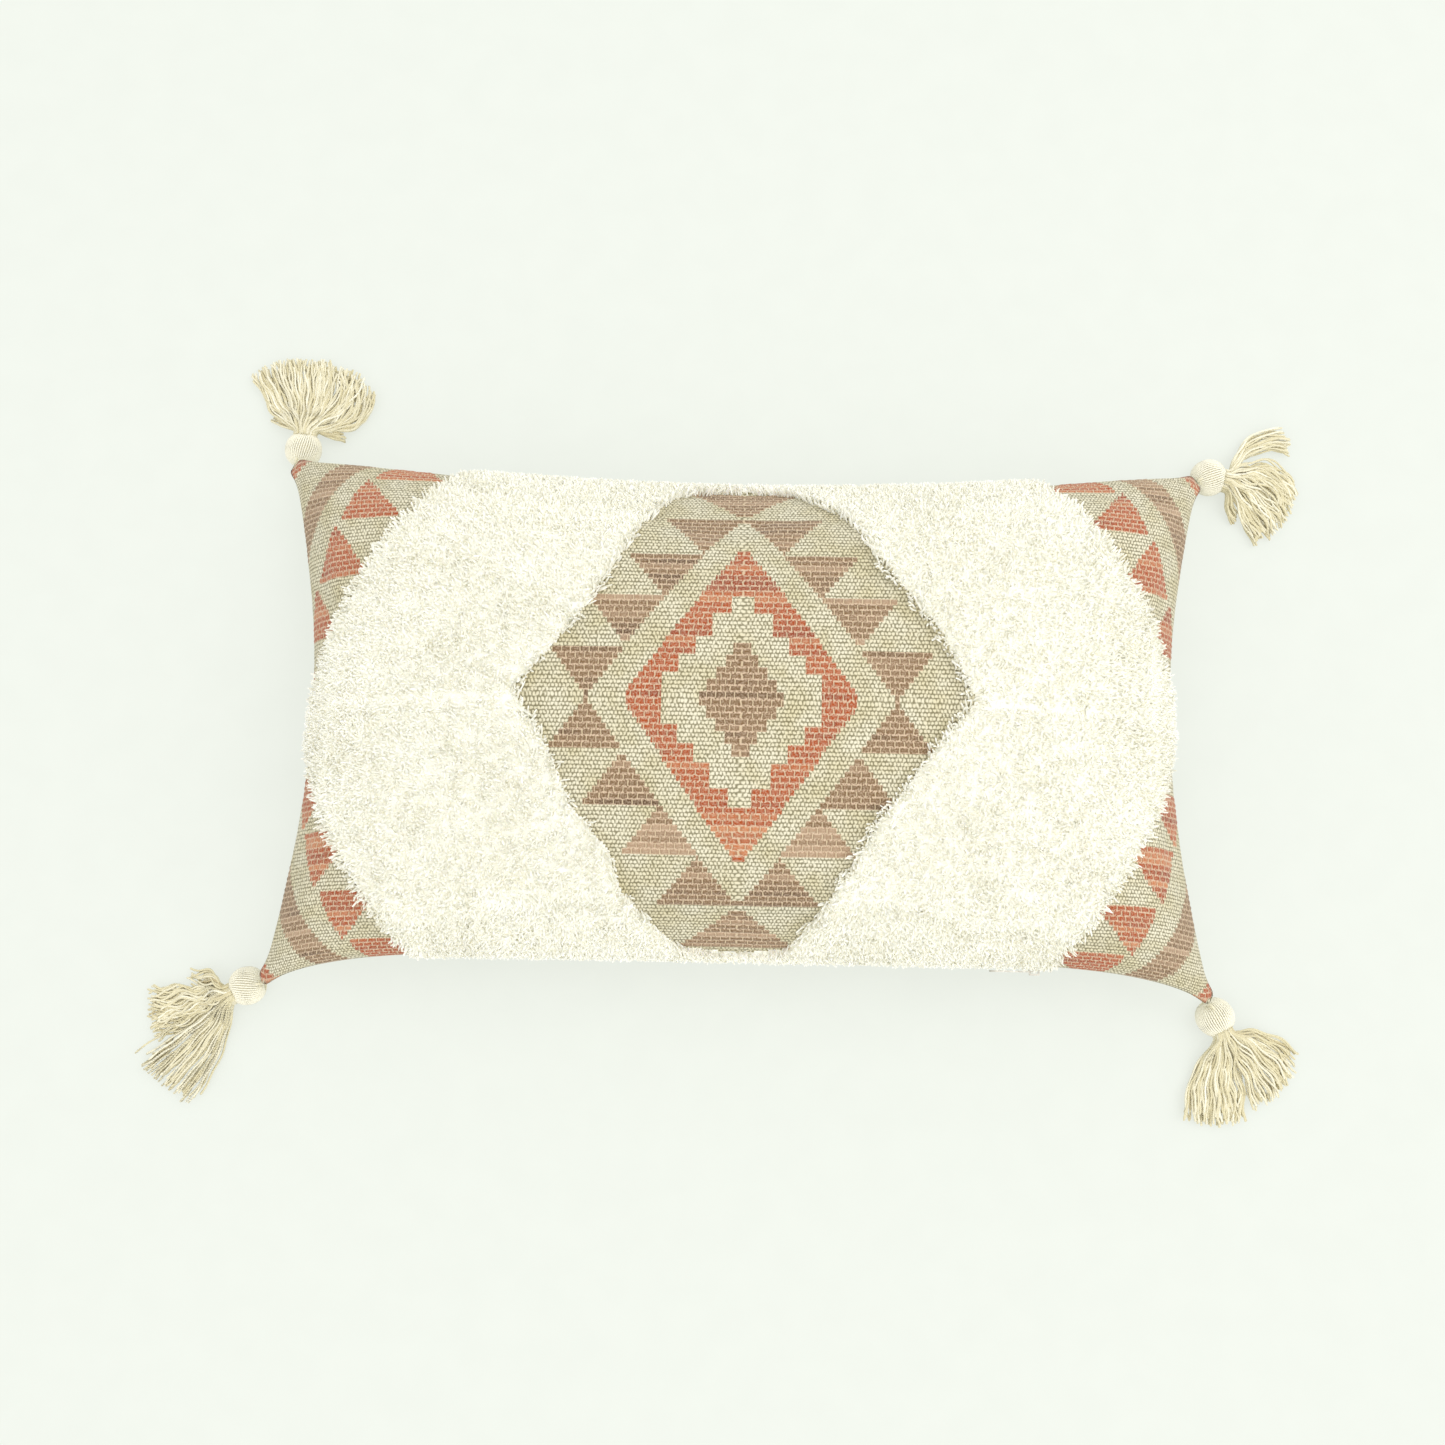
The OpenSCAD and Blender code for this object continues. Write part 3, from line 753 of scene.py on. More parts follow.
face_count = (cols * rows)
centre_s = ((grid_s[:-1, :-1] + grid_s[1:, 1:]) / 2).ravel()
centre_t = ((grid_t[:-1, :-1] + grid_t[1:, 1:]) / 2).ravel()
cell_s, cell_t = brick_centres(centre_s, centre_t)
kind = figure_at(centre_s, cell_t)
face_colour = np.concatenate([yarn_colours(cell_s, cell_t, kind),
                              (kind > 0).astype(float)[:, None]], 1)
corner_total = sum(f.size for f in faces)
corner_colour = np.tile(np.array([*linear(WEAVE_LIGHT), 0.0]), (corner_total, 1))
corner_colour[:face_count * 4] = np.repeat(face_colour, 4, axis=0)
inner_grid_s, inner_grid_t = grid_s[::FINE_Y, ::FINE_X], grid_t[::FINE_Y, ::FINE_X]
cloth_st = np.concatenate([np.stack([grid_s, grid_t, 0 * grid_s], -1).reshape(-1, 3),
                           np.stack([inner_grid_s, inner_grid_t, 0 * inner_grid_s],
                                    -1).reshape(-1, 3)])
front_panel = mesh_object(
    "cover_front", points, faces, front_cloth, "pillow",
    [("cloth", "FLOAT_VECTOR", "POINT", cloth_st),
     ("yarn", "FLOAT_COLOR", "CORNER", corner_colour),
     ("tint", "FLOAT", "POINT", np.full(len(points), 0.7))])
front_panel.data.materials.append(pile_yarn)
tufted = (mat_height[:-1, :-1] > 0.4).ravel().astype(np.int32)
slots = np.concatenate([tufted, np.zeros(len(front_panel.data.polygons) - face_count, np.int32)])
front_panel.data.polygons.foreach_set("material_index", slots)
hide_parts("front_panel")

# ---- Back panel ----

back_cols, back_rows = 216, 132
back_s, back_t = np.meshgrid(np.linspace(-CLOTH_S, CLOTH_S, back_cols + 1),
                             np.linspace(-CLOTH_T, CLOTH_T, back_rows + 1))
back_u, back_v = back_map.uv(back_s, back_t)
shift = drift_at(back_drift, back_s, back_t)
shift = shift[..., None] * np.array([0, 0, -1.0])
outside = round_tips(back_point(back_u, back_v, lowest=0.0) + shift)
inside = round_tips(back_point(back_u, back_v, CLOTH, CLOTH, CLOTH, lowest=CLOTH) + shift)
inside[..., 2] = np.maximum(inside[..., 2], CLOTH)
ripple = (noise_field(11, 31)(back_s, back_t) - 0.5) * 1.2
lift = np.clip(outside[..., 2] / 12, 0, 1)
back_fade = np.clip(np.minimum(CLOTH_S - np.abs(back_s), CLOTH_T - np.abs(back_t)) / 8, 0, 1)
outside = outside - grid_normals(outside) * (ripple * lift * back_fade)[..., None]
outside[..., 2] = np.maximum(outside[..., 2], 0.05)
points, faces = closed_cloth(outside, inside, 2, 2)
faces = [f[:, ::-1] for f in faces]
back_st = np.concatenate([np.stack([back_s, back_t, 0 * back_s], -1).reshape(-1, 3),
                          np.stack([back_s, back_t, 0 * back_s], -1)[::2, ::2].reshape(-1, 3)])
back_panel = mesh_object("cover_back", points, faces, back_cloth, "pillow",
                         [("cloth", "FLOAT_VECTOR", "POINT", back_st)])
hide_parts("back_panel")

# ---- Tufted pile ----

SPACING = 1.62
tuft_s, tuft_t = np.meshgrid(np.arange(-CLOTH_S, CLOTH_S, SPACING),
                             np.arange(-CLOTH_T, CLOTH_T, SPACING))
tuft_s = (tuft_s + rng.uniform(-0.5, 0.5, tuft_s.shape) * SPACING * 0.9).ravel()
tuft_t = (tuft_t + rng.uniform(-0.5, 0.5, tuft_t.shape) * SPACING * 0.9).ravel()
within = (np.abs(tuft_s) < CLOTH_S - 0.8) & (np.abs(tuft_t) < CLOTH_T - 0.8)
tuft_s, tuft_t = tuft_s[within], tuft_t[within]
tuft_v = front_map.uv(tuft_s, tuft_t)[1]
root = panel_surface(tuft_s, tuft_t)
ragged = (noise_field(7, 41)(tuft_s, tuft_t) - 0.5) * 4
outer_gap = field_gap(root)
window_gap = signed_distance(tuft_s, tuft_t, WINDOW)
mat = mound(tuft_s, tuft_t, root)
zip_side = (tuft_v < 0) & (root[:, 2] < SEAM_Z + 6)
keep = (outer_gap + ragged * 0.3 > 0.8) & (window_gap + ragged > 0) & ~zip_side
tuft_s, tuft_t, root, mat, outer_gap, window_gap = (
    a[keep] for a in (tuft_s, tuft_t, root, mat, outer_gap, window_gap))
count = len(tuft_s)


def tangents(s, t):
    step = 0.5
    east = panel_surface(np.clip(s + step, -CLOTH_S, CLOTH_S), t) - panel_surface(
        np.clip(s - step, -CLOTH_S, CLOTH_S), t)
    north = panel_surface(s, np.clip(t + step, -CLOTH_T, CLOTH_T)) - panel_surface(
        s, np.clip(t - step, -CLOTH_T, CLOTH_T))
    east /= np.linalg.norm(east, axis=1, keepdims=True)
    north /= np.linalg.norm(north, axis=1, keepdims=True)
    normal = np.cross(east, north)
    return east, north, normal / np.linalg.norm(normal, axis=1, keepdims=True)


east, north, normal = tangents(tuft_s, tuft_t)
comb = noise_field(18, 42)(tuft_s, tuft_t) * 2 * math.pi * 1.6
lean = 0.05 + 0.25 * noise_field(10, 43)(tuft_s, tuft_t)
heading = comb + rng.normal(0, 1.1, count)
tilt = lean + 0.15 + rng.normal(0, 0.2, count)
gap_s = signed_distance(tuft_s + 1, tuft_t, WINDOW) - window_gap
gap_t = signed_distance(tuft_s, tuft_t + 1, WINDOW) - window_gap
splay = np.clip(1 - window_gap / 7, 0, 1) * (rng.random(count) * 0.6 + 0.1)
side_e = np.cos(heading) * tilt - gap_s * splay
side_n = np.sin(heading) * tilt - gap_t * splay
# Near the seams the pile leans in over the panel, so that it hardly overhangs them
rim_e = np.clip(1 - (CLOTH_S - np.abs(tuft_s)) / 16, 0, 1) * 0.9
rim_n = np.clip(1 - (CLOTH_T - np.abs(tuft_t)) / 16, 0, 1) * 0.7
side_e -= rim_e * np.sign(tuft_s)
side_n -= rim_n * np.sign(tuft_t)
aim = normal + east * side_e[:, None] + north * side_n[:, None]
aim /= np.linalg.norm(aim, axis=1, keepdims=True)
root = root + normal * (mat * 0.75)[:, None]
reach = PILE_HEIGHT * (0.6 + 0.2 * rng.random(count)) - mat * 0.75
edge_gap = np.minimum(CLOTH_T - np.abs(tuft_t), CLOTH_S - np.abs(tuft_s))
reach *= 0.45 + 0.55 * np.clip(edge_gap / 16, 0, 1)
bend = rng.normal(0, 1, (count, 2)) * 1.1
curl = east * bend[:, :1] + north * bend[:, 1:]
station = np.array([0.0, 0.45, 0.8, 1.0])
path = (root[:, None] + aim[:, None] * (reach[:, None] * station)[..., None]
        + curl[:, None] * (station ** 2)[None, :, None])
width = 0.7 * (0.85 + 0.3 * rng.random(count))
profile = np.array([0.8, 1.0, 0.95, 0.6])
radius = width[:, None] * profile
tint = np.clip(0.55 + 0.22 * rng.normal(0, 1, count)
               + 0.3 * (noise_field(30, 44)(tuft_s, tuft_t) - 0.5), 0, 1)
spin = rng.random(count) * 2 * math.pi
PIECES = 6
order = np.argsort(tuft_s, kind="stable")
for number, group in enumerate(np.array_split(order, PIECES)):
    turn = spin[group][:, None] + np.zeros(len(station))
    points, faces, per = tubes(path[group], radius[group], radius[group] * 0.8, turn, 3,
                               east[group][:, None])
    pile = mesh_object(f"pile_{number + 1}", points, faces, pile_yarn, "pillow",
                       [("tint", "FLOAT", "POINT", np.repeat(tint[group], per))], smooth=False)
    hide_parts("tufted_pile")

# ---- Insert, its filling and the seam allowance ----


def panel_grid(cells_x, cells_y):
    line_x = np.sin(np.linspace(-math.pi / 2, math.pi / 2, cells_x + 1))
    line_y = np.sin(np.linspace(-math.pi / 2, math.pi / 2, cells_y + 1))
    return np.meshgrid(line_x, line_y)


casing_u, casing_v = panel_grid(120, 80)
crumple = noise_field(14, 51)(casing_u * 280, casing_v * 160) * 0.8
inset = CLOTH + INSERT_GAP
over = front_point(casing_u, casing_v, INSERT_SHORT_X, INSERT_SHORT_Y, inset)
under = front_point(casing_u, casing_v, INSERT_SHORT_X + CASING, INSERT_SHORT_Y + CASING,
                    inset + CASING)
fade = bulge(casing_u, casing_v)
over[..., 2] -= crumple * fade
under[..., 2] -= crumple * fade
points, faces = closed_cloth(over, under)
insert_top = mesh_object("insert_casing_front", points, faces, casing_cloth, "pillow")
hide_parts("insert_front")

over = back_point(casing_u, casing_v, INSERT_SHORT_X + CASING, INSERT_SHORT_Y + CASING,
                  inset + CASING, inset + CASING)
under = back_point(casing_u, casing_v, INSERT_SHORT_X, INSERT_SHORT_Y, inset, inset)
points, faces = closed_cloth(over, under)
insert_base = mesh_object("insert_casing_back", points, faces, casing_cloth, "pillow")
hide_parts("insert_back")

room = CASING + 0.5
over = front_point(casing_u, casing_v, INSERT_SHORT_X + room, INSERT_SHORT_Y + room,
                   inset + room + 0.6)
under = back_point(casing_u, casing_v, INSERT_SHORT_X + room, INSERT_SHORT_Y + room,
                   inset + room + 0.6, inset + room + 0.4)
clumps = noise_field(16, 52)(casing_u * 280, casing_v * 160) * 3.5 * fade
over[..., 2] -= clumps
under[..., 2] += clumps * 0.6
points, faces = closed_cloth(over, under)
filling = mesh_object("filling_clumps", points, faces, fibre, "pillow",
                      [("tint", "FLOAT", "POINT", rng.random(len(points)))])
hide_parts("insert_filling")

ZIP_CELL, COVER_COLS = 8, 32
ALLOWANCE = 9.0


def seam_path(steps):
    """u, v of the sewn part of the edge, from one end of the zip round to the other."""
    stop = math.sin(math.radians(90 * (2 * (COVER_COLS - ZIP_CELL) / COVER_COLS - 1)))
    legs = [((stop, -1), (1, -1)), ((1, -1), (1, 1)), ((1, 1), (-1, 1)), ((-1, 1), (-1, -1)),
            ((-1, -1), (-stop, -1))]
    places = []
    for (u0, v0), (u1, v1) in legs:
        part = max(4, int(steps * max(abs(u1 - u0), abs(v1 - v0))))
        share = np.linspace(0, 1, part, endpoint=False)
        places.append(np.stack([u0 + (u1 - u0) * share, v0 + (v1 - v0) * share], -1))
    places.append(np.array([[-stop, -1.0]]))
    return np.concatenate(places)


walk = seam_path(70)
depths = np.linspace(0.4, ALLOWANCE, 7)
strip = []
for depth in depths:
    x, y = plan(walk[:, 0], walk[:, 1], depth, depth)
    strip.append(np.stack([x, y, middle_z(walk[:, 0], walk[:, 1], depth, depth)], -1))
strip = round_tips(np.stack(strip))
flutter = np.sin(np.arange(len(walk)) * 0.9)[None, :, None] * np.linspace(0, 0.1, 7)[:, None,
                                                                                     None]
strip = strip + flutter * np.array([0, 0, 1])
half_thick = np.array([0, 0, 0.33])
points, faces = closed_cloth(strip + half_thick, strip - half_thick)
allowance_st = np.tile(np.stack([np.tile(np.arange(len(walk)) * 5.0, 7),
                                 np.repeat(depths, len(walk)),
                                 np.zeros(7 * len(walk))], -1), (2, 1))
allowance = mesh_object("turned_in_edges", points, faces, back_cloth, "pillow",
                        [("cloth", "FLOAT_VECTOR", "POINT", allowance_st)])
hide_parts("seam_allowance")

# ---- Tassels ----

HEAD_Z, NECK_START, NECK_RADIUS = 9.6, 9.1, 5.0
HEAD_WIDE, HEAD_TALL = 11.4, 8.8
HINGE_Z = 20.0
STRAND = 0.78
BUNCH_RADIUS = 7.2
# Stations along each yarn, and yarns made for each one that a clump names
SKIRT_STEPS, DENSITY = 44, 1.6

# Each corner: its side in X and in Y, how far from it the head's centre is, how the head and
# the skirt lie in degrees from +X, and the skirt's clumps: first and last heading of their two
# edge strands, in degrees from +X, then shortest and longest reach, number of strands, lowest
# and highest layer, waviness
CORNERS = {
    "top_left": (-1, 1, 14.5, 86, 86, [
        ((150, 128), (96, 106), 50, 58, 30, 0, 3, 7),
        ((138, 100), (114, 100), 60, 67, 46, 1, 4, 8),
        ((106, 70), (102, 84), 58, 65, 42, 2, 4, 7),
        ((80, 38), (98, 74), 57, 65, 46, 1, 4, 8),
        ((44, -2), (114, 86), 57, 65, 46, 1, 4, 8),
        ((6, -24), (4, -16), 24, 31, 14, 0, 2, 6),
        ((162, 146), (140, 126), 26, 34, 10, 0, 1, 6)]),
    "top_right": (1, 1, 14.0, 30, -12, [
        ((70, 46), (2, -14), 57, 64, 26, 1, 4, 6),
        ((34, 4), (-58, -84), 58, 66, 36, 2, 4, 10),
        ((12, -32), (-44, -74), 54, 62, 46, 1, 4, 13),
        ((-28, -60), (-48, -62), 48, 56, 30, 0, 3, 9),
        ((-72, -94), (-34, -50), 26, 34, 12, 0, 1, 6)]),
    "bottom_left": (-1, -1, 13.5, 188, 212, [
        ((176, 200), (188, 196), 58, 68, 40, 1, 4, 18),
        ((198, 216), (188, 204), 62, 70, 28, 0, 3, 15),
        ((216, 256), (219, 228), 72, 82, 48, 1, 4, 4),
        ((142, 174), (184, 176), 30, 42, 18, 0, 3, 18)]),
    "bottom_right": (1, -1, 11.5, -50, -64, [
        ((-126, -90), (-88, -85), 58, 68, 42, 1, 4, 6),
        ((-90, -64), (-86, -94), 60, 68, 32, 1, 3, 11),
        ((-60, -20), (-76, -55), 56, 63, 40, 1, 4, 9),
        ((-26, -2), (-60, -42), 52, 60, 22, 0, 2, 8)]),
}


def skirt_paths(place, direction, clumps, draw):
    """Centre lines of the skirt's yarns, from inside the neck out to their loose ends."""
    steps = SKIRT_STEPS
    lines, tints = [], []
    for first, last, shortest, longest, number, low, high, wave in clumps:
        number = int(number * DENSITY)
        share = (np.arange(number) + draw.uniform(0.2, 0.8, number)) / number
        start = np.radians(first[0] + (first[1] - first[0]) * share)
        finish = np.radians(last[0] + (last[1] - last[0]) * share)
        start += draw.normal(0, 0.05, number)
        finish += draw.normal(0, 0.10, number)
        length = draw.uniform(shortest, longest, number) - NECK_START
        along = np.linspace(0, 1, steps)[None] * length[:, None]
        aim = math.radians(direction)
        turn_out = np.clip((along - 1.5) / 4.5, 0, 1)
        turn_out = turn_out ** 2 * (3 - 2 * turn_out)
        later = np.clip((along - 11) / (length[:, None] - 14), 0, 1)
        later = later ** 1.3
        heading = aim + (start[:, None] - aim) * turn_out
        heading = heading + (finish - start)[:, None] * later
        phase = share * 5 + draw.normal(0, 0.25, number)
        ripple = np.sin(2 * math.pi * (along / draw.uniform(19, 25, number)[:, None])
                        + phase[:, None])
        heading = heading + ripple * math.radians(wave) * 1.6 * turn_out
        step = length[:, None] / (steps - 1)
        dx = np.cos(heading) * step
        dy = np.sin(heading) * step
        off = (start - aim) / math.radians(75)
        off = np.clip(off, -1, 1) * (BUNCH_RADIUS - 0.4)
        depth = draw.uniform(-0.6, 1, number) * np.sqrt(
            np.maximum(BUNCH_RADIUS ** 2 - off ** 2, 0))
        base = place[None] + NECK_START * np.array([math.cos(aim), math.sin(aim)])
        x = base[:, 0] - math.sin(aim) * off
        y = base[:, 1] + math.cos(aim) * off
        x = x[:, None] + np.cumsum(dx, 1) - dx[:, :1]
        y = y[:, None] + np.cumsum(dy, 1) - dy[:, :1]
        layer = STRAND + 0.35 + 1.45 * (low + (high - low) * draw.random(number))
        fall = np.clip((along - 6) / 22, 0, 1)
        fall = fall ** 2 * (3 - 2 * fall)
        z = (HEAD_Z + depth)[:, None] * (1 - fall) + layer[:, None] * fall
        hump = draw.uniform(0, 1.3, number)[:, None] * np.sin(
            2 * math.pi * along / draw.uniform(22, 34, number)[:, None]
            + draw.random(number)[:, None] * 6) * fall
        z = np.maximum(z + hump, STRAND + 0.3)
        lines.append(np.stack([x, y, z], -1))
        # Random tone, plus painted shade: strands lying lower in the skirt get a darker tint and
        # higher ones a lighter one
        tints.append(np.clip(draw.normal(0.52, 0.13, number) + 0.05 * (layer - 3), 0, 1))
    return np.concatenate(lines), np.concatenate(tints)


def ball_paths(centre, direction, number):
    """Yarns laid over the head from its top at the corner down to the neck."""
    aim = math.radians(direction)
    axis = np.array([math.cos(aim), math.sin(aim), 0.0])
    across = np.array([-math.sin(aim), math.cos(aim), 0.0])
    rise = np.array([0, 0, 1.0])
    lat = np.linspace(0.08, 0.86, 22) * math.pi
    lon = np.arange(number)[:, None] * 2 * math.pi / number + 0.55 * (lat / math.pi)[None]
    reach = -np.cos(lat) * HEAD_WIDE * 0.97
    ring = np.sin(lat) ** 0.85
    path = (centre + reach[None, :, None] * axis
            + (np.cos(lon) * ring * HEAD_WIDE)[..., None] * across
            + (np.sin(lon) * ring * HEAD_TALL)[..., None] * rise)
    return path


def core_mesh(centre, direction, wide, tall):
    """Closed ball under the wound yarns."""
    aim = math.radians(direction)
    lat = np.linspace(0, math.pi, 17)[1:-1]
    lon = np.linspace(0, 2 * math.pi, 28, endpoint=False)
    a, o = np.meshgrid(lat, lon, indexing="ij")
    local = np.stack([-np.cos(a) * wide, np.sin(a) * np.cos(o) * wide,
                      np.sin(a) * np.sin(o) * tall], -1).reshape(-1, 3)
    poles = np.array([[-wide, 0, 0], [wide, 0, 0]])
    local = np.concatenate([local, poles])
    turned = np.stack([local[:, 0] * math.cos(aim) - local[:, 1] * math.sin(aim),
                       local[:, 0] * math.sin(aim) + local[:, 1] * math.cos(aim),
                       local[:, 2]], -1) + centre
    index = np.arange(len(lat) * len(lon)).reshape(len(lat), len(lon))
    ahead = np.roll(index, -1, axis=1)
    quads = np.stack([index[:-1], ahead[:-1], ahead[1:], index[1:]], -1).reshape(-1, 4)
    first, final = len(turned) - 2, len(turned) - 1
    caps = np.concatenate([
        np.stack([ahead[0], index[0], np.full(len(lon), first)], -1),
        np.stack([index[-1], ahead[-1], np.full(len(lon), final)], -1)])
    return turned, [quads, caps]


def joined(parts):
    """One set of points, faces and tints from several."""
    points, quads, tris, tints, base = [], [], [], [], 0
    for part_points, part_faces, tint in parts:
        for face in part_faces:
            (quads if face.shape[1] == 4 else tris).append(face + base)
        points.append(part_points)
        tints.append(tint)
        base += len(part_points)
    faces = [np.concatenate(group) for group in (quads, tris) if group]
    return np.concatenate(points), faces, np.concatenate(tints)


def yarn_parts(paths, radius, flat, turns, sides, ref, tint):
    """Tubes with an oval section that turns along the yarn, as plied yarn does."""
    number, length = paths.shape[:2]
    share = np.linspace(0, 1, length)[None]
    twist = share * turns * 2 * math.pi + np.arange(number)[:, None] * 1.7
    size = np.full((number, length), radius)
    points, faces, per = tubes(paths, size, size * flat, twist, sides, np.asarray(ref))
    return points, faces, np.repeat(np.broadcast_to(tint, number), per)


for order_number, (corner, (side_x, side_y, reach, direction, lie, clumps)) in enumerate(
        CORNERS.items()):
    draw = np.random.default_rng(70 + order_number)
    aim = math.radians(direction)
    out_xy = np.array([math.cos(aim), math.sin(aim)])
    tip = np.array([side_x * HALF_X, side_y * HALF_Y])
    centre_xy = tip + out_xy * reach
    centre = np.array([*centre_xy, HEAD_Z])
    body = f"tassel_{corner}"

    lines, strand_tint_and_layer_shade = skirt_paths(centre_xy, lie, clumps, draw)
    part = yarn_parts(lines, STRAND, 0.78, 9, 5, (0, 0, 1.0), strand_tint_and_layer_shade)
    skirt = mesh_object(f"skirt_{corner}", part[0], part[1], tassel_yarn, body,
                        [("tint", "FLOAT", "POINT", part[2])])
    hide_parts(f"tassel_skirt_{corner}")

    axis = np.array([*out_xy, 0.0])
    wound = ball_paths(centre, direction, 46)
    ball_tint = draw.normal(0.97, 0.05, 46)
    core = core_mesh(centre, direction, HEAD_WIDE - 0.35, HEAD_TALL - 0.35)
    # Yarn that hangs the head from the ring at the corner
    ring_at = np.array([*(tip + out_xy * 3.2), HINGE_Z + 1.2])
    hook = np.array([*ring_at[:2], HINGE_Z])
    top = centre - axis * (HEAD_WIDE - 1.2)
    bend = np.linspace(0, 2 * math.pi, 32)
    across = np.array([-out_xy[1], out_xy[0], 0.0])
    middle, half = (top + hook) / 2, (hook - top) / 2
    apart = np.sign(np.sin(bend)) * np.abs(np.sin(bend)) ** 0.5 * 1.6
    hanger = (middle + np.cos(bend)[:, None] * half + apart[:, None] * across)[None]
    parts = [(core[0], core[1], np.full(len(core[0]), 0.6)),
             yarn_parts(wound, 0.72, 0.8, 5, 6, axis, ball_tint),
             yarn_parts(hanger, 0.62, 0.8, 8, 8, across, [0.7])]
    points, faces, tint_values = joined(parts)
    head = mesh_object(f"head_{corner}", points, faces, tassel_yarn, body,
                       [("tint", "FLOAT", "POINT", tint_values)])
    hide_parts(f"tassel_head_{corner}")

    turns = 3.6
    wind = np.linspace(0, turns * 2 * math.pi, 110)
    down = math.radians(lie)
    neck, beside = (np.array([math.cos(down), math.sin(down), 0.0]),
                    np.array([-math.sin(down), math.cos(down), 0.0]))
    wrap = (centre + neck * (NECK_START + 1.0 + 3.0 * (wind / wind[-1]))[:, None]
            + (np.cos(wind) * (NECK_RADIUS + 0.75))[:, None] * beside
            + (np.sin(wind) * (NECK_RADIUS + 0.75))[:, None] * np.array([0, 0, 1.0]))[None]
    part = yarn_parts(wrap, 0.72, 0.85, 26, 7, neck, [0.72])
    binding = mesh_object(f"binding_{corner}", part[0], part[1], tassel_yarn, body,
                          [("tint", "FLOAT", "POINT", part[2])])
    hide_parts(f"tassel_binding_{corner}")

    circle = np.linspace(0, 2 * math.pi, 49)
    ring = (ring_at + np.cos(circle)[:, None] * 2.2 * axis
            + (np.sin(circle) * 2.2)[:, None] * np.array([0, 0, 1.0]))[None]
    part = yarn_parts(ring, 0.66, 0.8, 7, 8, across, [0.7])
    loop = mesh_object(f"loop_{corner}", part[0], part[1], tassel_yarn,
                       f"tassel_loop_{corner}",
                       [("tint", "FLOAT", "POINT", part[2])])
    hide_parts(f"tassel_loop_{corner}")

# ---- Zip ----

TAPE_THICK, TAPE_WIDTH, TAPE_OVER = 0.6, 9.0, 10.0
COIL_RADIUS, COIL_GAP = 1.15, 0.9
for half, side in (("upper", 1), ("lower", -1)):
    low = COIL_GAP / 2 if side > 0 else -COIL_GAP / 2 - TAPE_WIDTH
    tape_x, tape_z = np.meshgrid(np.linspace(-ZIP_LENGTH / 2 - TAPE_OVER,
                                             ZIP_LENGTH / 2 + TAPE_OVER, 260),
                                 np.linspace(0, TAPE_WIDTH, 10))
    ribs = 0.05 * np.sin(tape_z * 4)
    face = np.stack([tape_x, -ZIP_Y - 0 * tape_x + ribs, SEAM_Z + low + tape_z], -1)
    rear = face + np.array([0, TAPE_THICK, 0])
    points, faces = closed_cloth(face, rear)
    tape = mesh_object(f"zip_tape_{half}", points, faces, tape_cloth, "pillow")
    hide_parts(f"zipper_tape_{half}")
    pitch = 1.55
    loops = int(ZIP_LENGTH / pitch)
    wind = np.linspace(0, loops * 2 * math.pi, loops * 12)
    line = np.stack([-ZIP_LENGTH / 2 + 0.6 + (ZIP_LENGTH - 1.2) * wind / wind[-1],
                     -ZIP_Y + TAPE_THICK + COIL_RADIUS + np.cos(wind) * (COIL_RADIUS - 0.33),
                     SEAM_Z + side * (COIL_GAP / 2 + COIL_RADIUS)
                     + np.sin(wind) * side * (COIL_RADIUS - 0.33)], -1)[None]
    size = np.full(line.shape[:2], 0.32)
    points, faces, per = tubes(line, size, size, size * 0, 6, np.array([1.0, 0, 0]))
    coil = mesh_object(f"zip_coil_{half}", points, faces, coil_nylon, "pillow")
    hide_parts(f"zipper_coil_{half}")

for label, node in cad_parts.items():
    if label in ("zipper_slider", "zipper_pull", "zipper_top_stops", "zipper_bottom_stop"):
        node.data.materials.clear()
        node.data.materials.append(metal)

# ---- Blank care label: a ribbon folded in half, its cut ends in the left seam ----

LABEL_LONG, LABEL_HIGH, LABEL_THICK, LABEL_FOLD = 30.0, 10.0, 0.22, 0.5
label_x = -HALF_X * (1 - SIDE_PULL) + 7.0 + 0.25
label_z = SEAM_Z + SEAM_GAP / 2 + 0.2
bend = np.linspace(-math.pi / 2, math.pi / 2, 9)
leg = np.linspace(0, LABEL_HIGH - LABEL_FOLD, 12)
outline = np.concatenate([
    np.stack([np.full(12, -LABEL_FOLD / 2), leg], -1),
    np.stack([np.sin(bend) * LABEL_FOLD / 2, leg[-1] + np.cos(bend) * LABEL_FOLD / 2], -1)[1:-1],
    np.stack([np.full(12, LABEL_FOLD / 2), leg[::-1]], -1)])
away = np.gradient(outline, axis=0)
away = np.stack([away[:, 1], -away[:, 0]], -1) / np.linalg.norm(away, axis=1, keepdims=True)
label_y = np.linspace(-LABEL_LONG / 2, LABEL_LONG / 2, 31)
faces_of_label = []
for offset in (-LABEL_THICK / 2, LABEL_THICK / 2):
    line = outline + away * offset
    faces_of_label.append(np.stack([
        label_x + line[:, :1] + 0.08 * np.sin(label_y / 5)[None],
        np.broadcast_to(label_y, (len(line), len(label_y))),
        label_z + line[:, 1:] + 0 * label_y[None]], -1))
points, faces = closed_cloth(*faces_of_label)
label = mesh_object("care_label_ribbon", points, faces, label_cloth, "pillow")
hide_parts("care_label")

# ---- Camera, floor and light ----


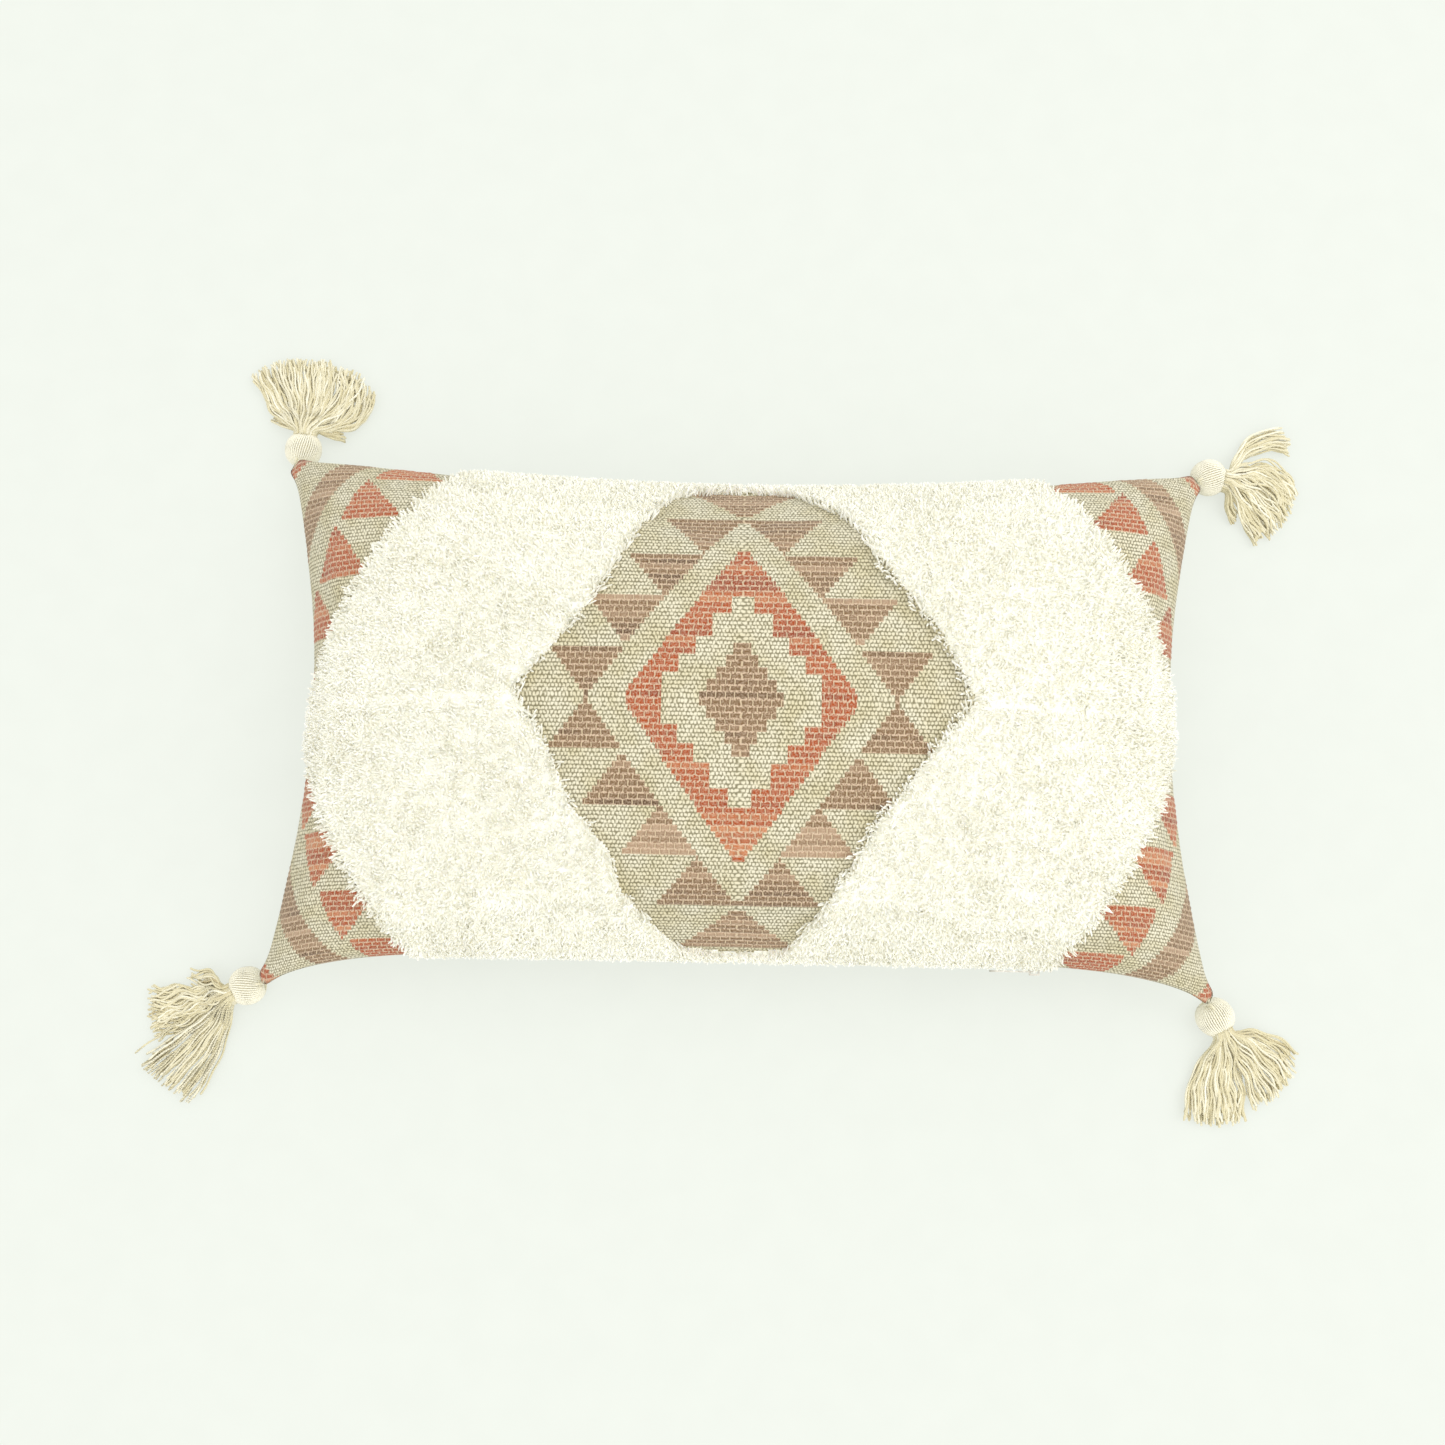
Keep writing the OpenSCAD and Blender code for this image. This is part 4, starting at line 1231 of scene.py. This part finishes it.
def aim_camera():
    azimuth, elevation, roll = (math.radians(a) for a in (2.6, 81.4, -1.45))
    back = Vector((math.sin(azimuth) * math.cos(elevation),
                   -math.cos(azimuth) * math.cos(elevation), math.sin(elevation)))
    right = (-back).cross(Vector((0, 0, 1))).normalized()
    up = right.cross(-back)
    right, up = (right * math.cos(roll) + up * math.sin(roll),
                 up * math.cos(roll) - right * math.sin(roll))
    data = bpy.data.cameras.new("camera")
    data.sensor_width = 36.0
    data.lens = 40.31
    data.clip_start = 0.01
    camera = bpy.data.objects.new("camera", data)
    bpy.context.scene.collection.objects.link(camera)
    matrix = Matrix((right, up, back)).transposed().to_4x4()
    matrix.translation = Vector((-0.011, 0.0, 0.040)) + back * 1.0
    camera.matrix_world = matrix
    bpy.context.scene.camera = camera


aim_camera()


def make_floor():
    shader = Shader("floor_paper", roughness=0.95, specular=0.1)
    grain = shader.noise(shader.position(), 40.0, 3.0)
    shader.colour(shader.mix(shader.smooth(grain, 0.2, 0.8), rgba((117, 120, 115)),
                             rgba((120, 123, 118))))
    shader.bsdf.inputs["Emission Color"].default_value = (0.965, 1.0, 0.93, 1.0)
    shader.bsdf.inputs["Emission Strength"].default_value = 0.66
    mesh = bpy.data.meshes.new("floor")
    size = 12.0
    mesh.from_pydata([(-size, -size, 0), (size, -size, 0), (size, size, 0), (-size, size, 0)],
                     [], [(0, 1, 2, 3)])
    mesh.materials.append(shader.material)
    floor = bpy.data.objects.new("floor", mesh)
    bpy.context.scene.collection.objects.link(floor)


make_floor()


def area_light(name, place, size, power):
    data = bpy.data.lights.new(name, "AREA")
    data.shape = "SQUARE"
    data.size = size
    data.energy = power
    light = bpy.data.objects.new(name, data)
    light.location = place
    light.rotation_euler = (-Vector(place)).to_track_quat("-Z", "Y").to_euler()
    bpy.context.scene.collection.objects.link(light)


area_light("key", (1.7, 0.4, 2.4), 2.4, 30.0)
area_light("fill", (-0.6, -1.8, 2.4), 2.4, 12.0)
world = bpy.data.worlds.new("studio")
world.use_nodes = True
world.node_tree.nodes["Background"].inputs[0].default_value = (1.0, 1.0, 0.985, 1.0)
world.node_tree.nodes["Background"].inputs[1].default_value = 1.2
bpy.context.scene.world = world
bpy.context.scene.view_settings.view_transform = "Standard"
bpy.context.scene.cycles.diffuse_bounces = 10
